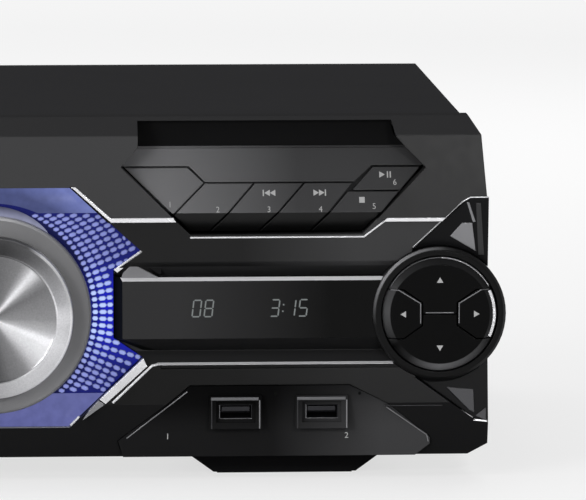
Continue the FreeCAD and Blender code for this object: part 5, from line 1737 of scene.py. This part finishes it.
# Painted shade round the skirt, and a painted highlight along its upper outer edge.
SKIRT_SHADE_SHARES = ((-90, 0.17), (-60, 0.22), (-40, 0.215), (-20, 0.165), (0, 0.146), (60, 0.152),
                (90, 0.185))
SKIRT_EDGE_HIGHLIGHT_SHARES = ((-90, 0.17), (-60, 0.2), (0, 0.15), (45, 0.18), (70, 0.32), (90, 0.50))
KEY_SHARES = ((0, 0.003), (180, 0.003))
# Painted reflections in the pad keys' bevels.
BEVEL_REFLECTION_SHARES = ((-90, 0.17), (-60, 0.10), (-30, 0.04), (0, 0.02), (90, 0.012), (135, 0.02),
                (150, 0.05), (178, 0.075), (-155, 0.03), (-145, 0.004), (-125, 0.02))
RING_SHARES = ((0, 0.004), (180, 0.004))
# Painted highlight: the light crescent on the pad rings.
CRESCENT_HIGHLIGHT_SHARES = ((-60, 0.006), (-20, 0.02), (0, 0.035), (20, 0.02), (45, 0.005), (75, 0.008),
                   (84, 0.03), (90, 0.08), (120, 0.22), (135, 0.26), (150, 0.23), (165, 0.12),
                   (178, 0.05), (-170, 0.008), (-130, 0.005))


@dataclass(frozen=True)
class Spun:
    """Metal turned on a lathe, with an anisotropic gloss and highlight wedges about its axis
    painted into its colour.
    """

    name: str
    centre: Place
    zones: tuple[Zone, ...]
    roughness: float = 0.30
    anisotropy: float = 1.0
    groove_cells: ClassVar[float] = 2600
    fleck_cells: ClassVar[float] = 1500
    fleck_shares: ClassVar[Point] = (0.8, 1.2)

    def build(self) -> bpy.types.Material:
        """Makes the material.

        Returns:
            A metal with ring-shaped brush lines and painted highlight wedges.
        """
        nodes = Nodes(self.name)
        around = nodes.add("VectorMath", operation="CROSS_PRODUCT")
        around.inputs[1].default_value = (0, 1, 0)
        nodes.link(nodes.less(nodes.add("NewGeometry").outputs["Position"], self.centre),
                   around.inputs[0])
        nodes.link(nodes.worked("NORMALIZE", around.outputs["Vector"], kind="VectorMath"),
                   nodes.shader.inputs["Tangent"])
        grooves = nodes.add("TexNoise", noise_dimensions="1D", in_Detail=4.0,
                            in_Scale=self.groove_cells)
        nodes.link(nodes.span(nodes.mapped((1, 0, 1), self.centre)), grooves.inputs["W"])
        flecks_and_highlights = nodes.add("Mix", data_type="RGBA", blend_type="MULTIPLY")
        flecks_and_highlights.inputs[0].default_value = 1
        flecks = nodes.blend(nodes.noise(self.fleck_cells, 2),
                             *((share,) * 3 for share in self.fleck_shares))
        nodes.link(flecks, flecks_and_highlights.inputs[6])
        # Painted highlights and reflections: greys by azimuth multiply the colour.
        nodes.link(nodes.ringed(self.centre, self.zones), flecks_and_highlights.inputs[7])
        nodes.link(flecks_and_highlights.outputs[2], nodes.shader.inputs["Base Color"])
        nodes.set(Metallic=1.0, Roughness=self.roughness, Anisotropic=self.anisotropy,
                  Anisotropic_Rotation=0.25)
        bump = nodes.add("Bump", in_Strength=0.06, in_Distance=0.00003)
        nodes.link(grooves.outputs["Fac"], bump.inputs["Height"])
        nodes.link(bump.outputs["Normal"], nodes.shader.inputs["Normal"])
        return nodes.material


# Hue at the dial's height and far from it, strength, dim share, span and roughness.
# Dim shares below 1 paint shade next to the dial; the arc's share of 8 paints a highlight.
LENS_LIGHTS = {
    "lens_floor": ((0.05, 0.09, 0.80), (0.06, 0.08, 0.42), 0.8, 0.3, (41.0, 45.0), 0.25),
    "lens_flat": ((0.44, 0.48, 0.71), (0.44, 0.48, 0.71), 1.0, 0.38, (48.5, 57.0), 0.3),
    "lens_low": ((0.39, 0.405, 0.62), (0.39, 0.405, 0.62), 1.0, 0.9, (44.0, 58.0), 0.3),
    "lens_painted_arc": ((0.62, 0.63, 0.73), (0.62, 0.63, 0.73), 0.09, 8.0, (40.2, 43.6), 0.4),
    "lens_bead": ((0.70, 0.77, 1.0), (0.52, 0.55, 0.80), 0.9, 1.3, (43.0, 60.0), 0.2),
}


def make_finishes(datum: Datum) -> dict[str, bpy.types.Material]:
    """Makes every material once.

    Args:
        datum: Places of the model that some finishes refer to.

    Returns:
        Materials by name.
    """
    axis = (0.0, datum.front * MM, datum.dial_z * MM)
    recipes = {
        # Front moulding: bands partly two-tone paint, partly painted light and shade; tone across
        # is painted light.
        "moulding": Banded("front_moulding", (
            (0, 0.0105, 0.0105), (31.6, 0.001, 0.008), (47.3, 0.02, 0.02),
            (86, 0.006, 0.036), (105.17, 0.039, 0.014), (138.2, 0.030, 0.030)),
            (100, 145), specular=0.18),
        # Bay: painted light, lighter towards the end, and painted shade above the sockets near the
        # middle.
        "bay": Banded("bay_plastic", ((0, 0.0135, 0.06), (22, 0.0125, 0.057),
                                      (31, 0.0055, 0.045), (38, 0.004, 0.02)), (112, 155),
                      specular=0.1, matt_from=20, kind="LINEAR"),
        # Deck: painted light on the keys' sloping faces near the middle, painted shade below and
        # above them.
        "deck": Banded("sampler_plastic", (
            (0, 0.002, 0.002), (107.6, 0.168, 0.043), (132.5, 0.008, 0.008)), (60, 122),
            specular=0.25, matt_from=132.4),
        "gloss_black": Moulded("gloss_black", grey(0.05, 0.005), 0.3, 0.02, 0.0003,
                               specular=0.1),
        "shade_black": Moulded("shade_black", srgb(0.035, 0.04, 0.035), 0.6, 0.02, 0.0002,
                               specular=0.05),
        # Pad keys and rings: plain dark tones, painted reflections in the bevels, a painted
        # crescent highlight.
        "pad": Ringed("pad_plastic", (PAD_CENTRE, datum.dial_z), (
            (0, KEY_SHARES), (19.8, BEVEL_REFLECTION_SHARES))),
        "pad_ring": Ringed("ring_gloss_painted_crescent", (PAD_CENTRE, datum.dial_z), (
            (0, RING_SHARES), (25.5, CRESCENT_HIGHLIGHT_SHARES)), specular=0.1),
        # Window: painted reflection, its face lighter near the dial and darker towards the end.
        "window": Banded("window_acrylic", ((0, 0.013, 0.013), (57.4, 0.027, 0.001)),
                         (75, 135), 0.2, specular=0.1),
        # Greys for thin tiles and strips: painted highlights and painted lit and shaded facets.
        "painted_highlight_edge": Plated("painted_highlight_edge", (0.86, 0.86, 0.88), 0.3, metallic=0.4),
        "painted_lit_facet": Plated("painted_lit_facet", grey(0.52, 0.01), 0.35, metallic=0.4),
        "painted_frame_top": Plated("painted_frame_top", grey(0.40, 0.01), 0.4, metallic=0.3),
        "painted_mid_facet": Plated("painted_mid_facet", grey(0.23, 0.01), 0.35, metallic=0.4),
        "painted_dim_facet": Plated("painted_dim_facet", grey(0.15, 0.005), 0.4, metallic=0.3),
        "chrome": Plated("chrome", (0.88, 0.88, 0.90), 0.25, metallic=0.5),
        # Skirt: painted shade and a painted highlight on its upper edge; cap: painted reflections
        # and wedges.
        "skirt": Ringed("skirt_lacquer_painted_shade", (0, datum.dial_z), (
            (0, SKIRT_SHADE_SHARES), (38.2, SKIRT_EDGE_HIGHLIGHT_SHARES)), 0.42, 0.3),
        "cap_rim": Spun("cap_rim", axis, ((0, RIM_REFLECTION_SHARES), (30.9, ARC_HIGHLIGHT_SHARES)), 0.3, 0.4),
        "spun_face": Spun("spun_face", axis, ((0, FACE_HIGHLIGHT_SHARES),)),
        **{name: LitLens(name, srgb(*near), srgb(*far), strength, datum.dial_z, dim, span, rough)
           for name, (near, far, strength, dim, span, rough) in LENS_LIGHTS.items()},
        "display_glass": Moulded("display_glass", srgb(0.04, 0.045, 0.05), 0.08, 0.0, coat=0.5),
        "digits": Glowing("display_digits", srgb(0.50, 0.52, 0.52), 0.4),
        # Printed marks give off light: a painted glow.
        "marking": Glowing("printed_marks_painted_glow", grey(0.78), 0.3),
        "steel": Brushed("socket_steel", grey(0.62, 0.01), 0.3),
        # Socket steel darkened: painted shade inside the openings.
        "dark_steel": Brushed("dark_steel", grey(0.21, 0.01), 0.4),
        "rod_steel": Brushed("rod_steel", grey(0.70, 0.01), 0.22, (1, 0.05, 1)),
        "sheet": Moulded("painted_sheet", grey(0.20, 0.005), 0.8, 0.2, 0.0006,
                         specular=0.0),
        "rear_sheet": Moulded("rear_sheet", grey(0.14, 0.005), 0.6, 0.2, 0.0004),
        "zinc": Brushed("zinc_sheet", srgb(0.62, 0.63, 0.62), 0.42),
        "black": Moulded("black_plastic", grey(0.06, 0.005), 0.5, 0.12),
        "foot": Moulded("foot_plastic", grey(0.05, 0.005), 0.6, specular=0.05),
        "tray": Moulded("tray_plastic", grey(0.12, 0.005), 0.42, 0.1),
        "white": Moulded("white_nylon", srgb(0.86, 0.86, 0.83), 0.4, 0.06),
        "rubber": Moulded("foot_rubber", grey(0.05), 0.8, 0.25),
        "board": Moulded("board_lacquer", srgb(0.05, 0.24, 0.13), 0.3, 0.05, 0.0001),
        "aluminium": Brushed("sink_aluminium", srgb(0.75, 0.76, 0.77), 0.35, (1, 0.05, 1)),
        "foam": Moulded("filter_foam", grey(0.05), 0.9, 0.4, specular=0.0),
        "grille": Moulded("fan_plastic", grey(0.07, 0.005), 0.45, 0.08),
    }
    return {name: recipe.build() for name, recipe in recipes.items()}


DRESS = {
    "moulding": ("front_panel", "tray_front"),
    "bay": ("mic_bay", "mic_level_knob", "usb_bay"),
    # The USB sockets take the darkened steel: painted shade.
    "dark_steel": ("usb_sockets",),
    "deck": ("sampler_deck", *(f"sampler_key_{n}" for n in range(1, 7))),
    "pad": ("pad_bases", *(f"{side}_pad_{part}_key" for side in ("left", "right")
                           for part in ("upper", "lower", "outer", "inner"))),
    "pad_ring": ("pad_rings",),
    "steel": ("mic_jacks", "standoffs", "loading_motor", "spindle_motor",
              "transformer", "cover_screws"),
    "rod_steel": ("dial_shaft", "guide_rods", "lead_screw"),
    "sheet": ("top_cover",),
    "rear_sheet": ("rear_panel",),
    "zinc": ("bottom_chassis", "clamp_bridge"),
    "foot": ("feet",),
    "black": ("rear_sockets", "front_controls", "loader_frame", "traverse_deck",
              "pickup_sled"),
    "tray": ("disc_tray", "turntable"),
    "white": ("clamp_puck", "loading_gear", "motor_pinion"),
    "rubber": ("foot_pads",),
    "board": ("circuit_boards", "front_board"),
    "aluminium": ("heat_sink",),
    "grille": ("fan_frame", "fan_rotor"),
    "display_glass": ("display_tube",),
}


def dress(frame: dict, finishes: dict[str, bpy.types.Material]) -> None:
    """Gives every CAD piece its finish.

    Args:
        finishes: Materials by name.
    """
    for finish, names in DRESS.items():
        for name in names:
            mesh = frame["nodes"][name].data
            mesh.materials.clear()
            mesh.materials.append(finishes[finish])


DISPLAY = (("08", 79.6), ("3:15", 110.8))  # Figures and where they start across.
DISPLAY_FOOT = 66.3  # Height of their foot above the shelf, in mm.
DISPLAY_PROUD = 9.06  # Just in front of the window's face.
PAD_DISH = ((0, 19.9, 22.9), (12.3, 13.5, 10.5))  # Radii, and the keys' heights at them.


def add_pieces(shop: Workshop) -> None:
    """Adds the modelled pieces in place of plain CAD ones.

    Args:
        shop: Datum and finishes.
    """
    lens = Lens().build(shop)
    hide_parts("dial_lens")
    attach(lens, "console")
    skirt, cap = Dial().build(shop)
    for piece, node, slot in ((skirt, "dial_skirt", "skirt_grey"),
                              (cap, "dial_cap", "spun_aluminium")):
        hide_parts(node)
        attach(piece, "dial")
    beside = tuple((maker.build(shop, side), node, slot) for maker, node, slot in (
        (WindowBar(), "front_windows", "gloss_black"), (Wings(), "wing_inserts", "dark_moulding"),
        (Trims(), "chrome_trims", "chrome")) for side in Side)
    for made, node, slot in beside:
        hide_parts(node)
        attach(made, "console")
    digits = shop.skin("display_figures", "digits")
    for text, x in DISPLAY:
        Segments().write(digits, text, x, DISPLAY_FOOT, shop.datum.front - DISPLAY_PROUD)
    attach(digits.build(), "console")

    def dish(radius: float | np.ndarray) -> np.ndarray:
        """Gives the height of the pads' dished and bevelled keys at a radius."""
        return np.interp(radius, *PAD_DISH)

    marks = Markings(shop, Deck())
    marks.on_keys()
    marks.on_bay()
    marks.on_pads(dish)
    add_filter(shop)
    lines = Lines()
    lines.on_pads(shop, dish)
    lines.on_bays(shop)
    LOG.info("console: %d pieces beside the lens and the dial", len(beside))


FILTER_GAP = 0.3  # Between the fan's frame and its filter, in mm.
FILTER_WALL = 0.8  # Thickness of the filter.


def add_filter(shop: Workshop) -> None:
    """Adds the dust filter over the fan's inner side, which also stops stray light.

    Args:
        shop: Datum and finishes.
    """
    low, high = (np.array(corner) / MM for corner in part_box("fan_frame"))
    outline = np.array([(low[0], low[2]), (high[0], low[2]), (high[0], high[2]),
                        (low[0], high[2])])
    rear = low[1] - FILTER_GAP
    skin = shop.skin("fan_filter", "foam")
    skin.rings([standing(outline, rear), standing(outline, rear - FILTER_WALL)])
    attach(skin.build(), "console")


def flat_sheet(name: str, corners: Sequence[Place],
               material: bpy.types.Material) -> bpy.types.Object:
    """Makes one stage face.

    Args:
        name: The object's name.
        corners: Its corners in metres.
        material: Its finish.

    Returns:
        The face.
    """
    mesh = bpy.data.meshes.new(name)
    mesh.from_pydata(corners, [], [range(len(corners))])
    mesh.materials.append(material)
    made = bpy.data.objects.new(name, mesh)
    bpy.context.scene.collection.objects.link(made)
    return made


def paper_floor() -> bpy.types.Material:
    """Makes the floor: pale paper that holds the shadow and meets the backdrop's tone.

    Camera, glossy and transmission rays see soft paper plus a glow that rises with the
    distance from the object; all other rays see plain paper.

    Returns:
        The material.
    """
    nodes = Nodes("paper_floor")
    nodes.set(Base_Color=(0.8, 0.8, 0.8, 1), Roughness=0.9, Specular_IOR_Level=0.0)
    soft = nodes.add("BsdfDiffuse", in_Color=(0.3, 0.3, 0.3, 1))
    glow = nodes.add("Emission", in_Color=(1, 1, 1, 1))
    nodes.link(nodes.ramp(nodes.span(nodes.place()), 0.0, 2.5, 0.66, 0.83),
               glow.inputs["Strength"])
    seen = nodes.add("AddShader")
    nodes.link(soft.outputs[0], seen.inputs[0])
    nodes.link(glow.outputs[0], seen.inputs[1])
    mix = nodes.add("MixShader")
    nodes.link(nodes.seen_rays(), mix.inputs[0])
    nodes.link(nodes.shader.outputs["BSDF"], mix.inputs[1])
    nodes.link(seen.outputs[0], mix.inputs[2])
    nodes.link(mix.outputs[0], nodes.output.inputs["Surface"])
    return nodes.material


@dataclass(frozen=True)
class Lamp:
    """A rectangular soft light aimed at a point."""

    name: str
    place: Place
    size: tuple[float, float]
    power: float
    aim: Place = (0.06, -0.13, 0.07)

    def add(self) -> None:
        """Adds the light."""
        light = bpy.data.lights.new(self.name, "AREA")
        light.shape = "RECTANGLE"
        light.size, light.size_y = self.size
        light.energy = self.power
        made = bpy.data.objects.new(self.name, light)
        made.location = self.place
        away = Vector(self.aim) - Vector(self.place)
        made.rotation_euler = away.to_track_quat("-Z", "Y").to_euler()
        bpy.context.scene.collection.objects.link(made)


DIAL = (0.0, -0.13, 0.067)
LAMPS = (
    Lamp("key", (-0.55, -0.70, 0.85), (0.6, 0.45), 2, (0.05, -0.13, 0.10)),
    Lamp("left_soft", (-1.5, -1.2, 0.75), (1.0, 1.2), 5),
    Lamp("top_soft", (0.0, 0.35, 1.4), (1.6, 0.8), 6),
    Lamp("dial_right", (0.27, -0.74, 0.27), (0.05, 0.05), 0.9, DIAL),
    Lamp("dial_left", (-0.32, -0.74, 0.22), (0.12, 0.24), 1.5, DIAL),
    Lamp("rear_fill", (0.4, 1.4, 1.0), (1.2, 0.8), 6, (0, 0.1, 0.08)),
)


def build_studio() -> None:
    """Adds floor, backdrop, world light and lamps.

    The backdrop is plain white to the camera. Gloss and glass see it white behind the
    object and dim in front of it; all other rays see an even, dim room.
    """
    flat_sheet("floor", [(-6, -6, 0), (6, -6, 0), (6, 6, 0), (-6, 6, 0)], paper_floor())
    world = bpy.data.worlds.new("studio")
    bpy.context.scene.world = world
    world.use_nodes = True
    sky = Tree(world.node_tree)
    output = sky.add("OutputWorld")
    place = sky.parts(sky.add("TexCoord").outputs["Generated"])
    behind = sky.add("MapRange", in_From_Min=-0.5, in_From_Max=0.3)
    sky.link(place["Y"], behind.inputs["Value"])
    camera = sky.add("LightPath").outputs["Is Camera Ray"]
    full = sky.worked("MAXIMUM", behind.outputs["Result"], camera)
    mix = sky.add("MixShader")
    seen = sky.add("Background", in_Color=(0.93, 0.93, 0.93, 1))
    lit = sky.add("Background", in_Color=(0.25, 0.25, 0.255, 1))
    sky.link(sky.worked("MULTIPLY", full, sky.seen_rays()), mix.inputs[0])
    sky.link(lit.outputs[0], mix.inputs[1])
    sky.link(seen.outputs[0], mix.inputs[2])
    sky.link(mix.outputs[0], output.inputs["Surface"])
    for lamp in LAMPS:
        lamp.add()


@dataclass(frozen=True)
class Camera:
    """The camera as the photographer had it.

    Attributes:
        focal: Focal length in mm, on a frame of the given width.
        place: Where it stands, in metres.
        tilt: How far it looks down, and turn to the right, in degrees.
    """

    focal: float = 348.4
    width: float = 36
    place: Place = (0, -2.368, 0.3552)
    tilt: float = 6.668
    turn: float = 3.063

    def add(self) -> None:
        """Adds the camera and makes it the scene's."""
        lens = bpy.data.cameras.new("studio_camera")
        lens.lens = self.focal
        lens.sensor_width = self.width
        lens.sensor_fit = "HORIZONTAL"
        lens.clip_end = 50
        camera = bpy.data.objects.new("studio_camera", lens)
        camera.location = self.place
        camera.rotation_euler = Euler((math.radians(90 - self.tilt), 0,
                                       math.radians(-self.turn)))
        bpy.context.scene.collection.objects.link(camera)
        bpy.context.scene.camera = camera
        bpy.context.scene.view_settings.view_transform = "Standard"


def main() -> None:
    """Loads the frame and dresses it."""
    logging.basicConfig(level=logging.INFO)
    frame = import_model()
    datum = Datum.read()
    finishes = make_finishes(datum)
    shop = Workshop(datum, Moulding(), finishes)
    dress(frame, finishes)
    add_pieces(shop)
    build_studio()
    Camera().add()


if __name__ == "__main__":
    main()
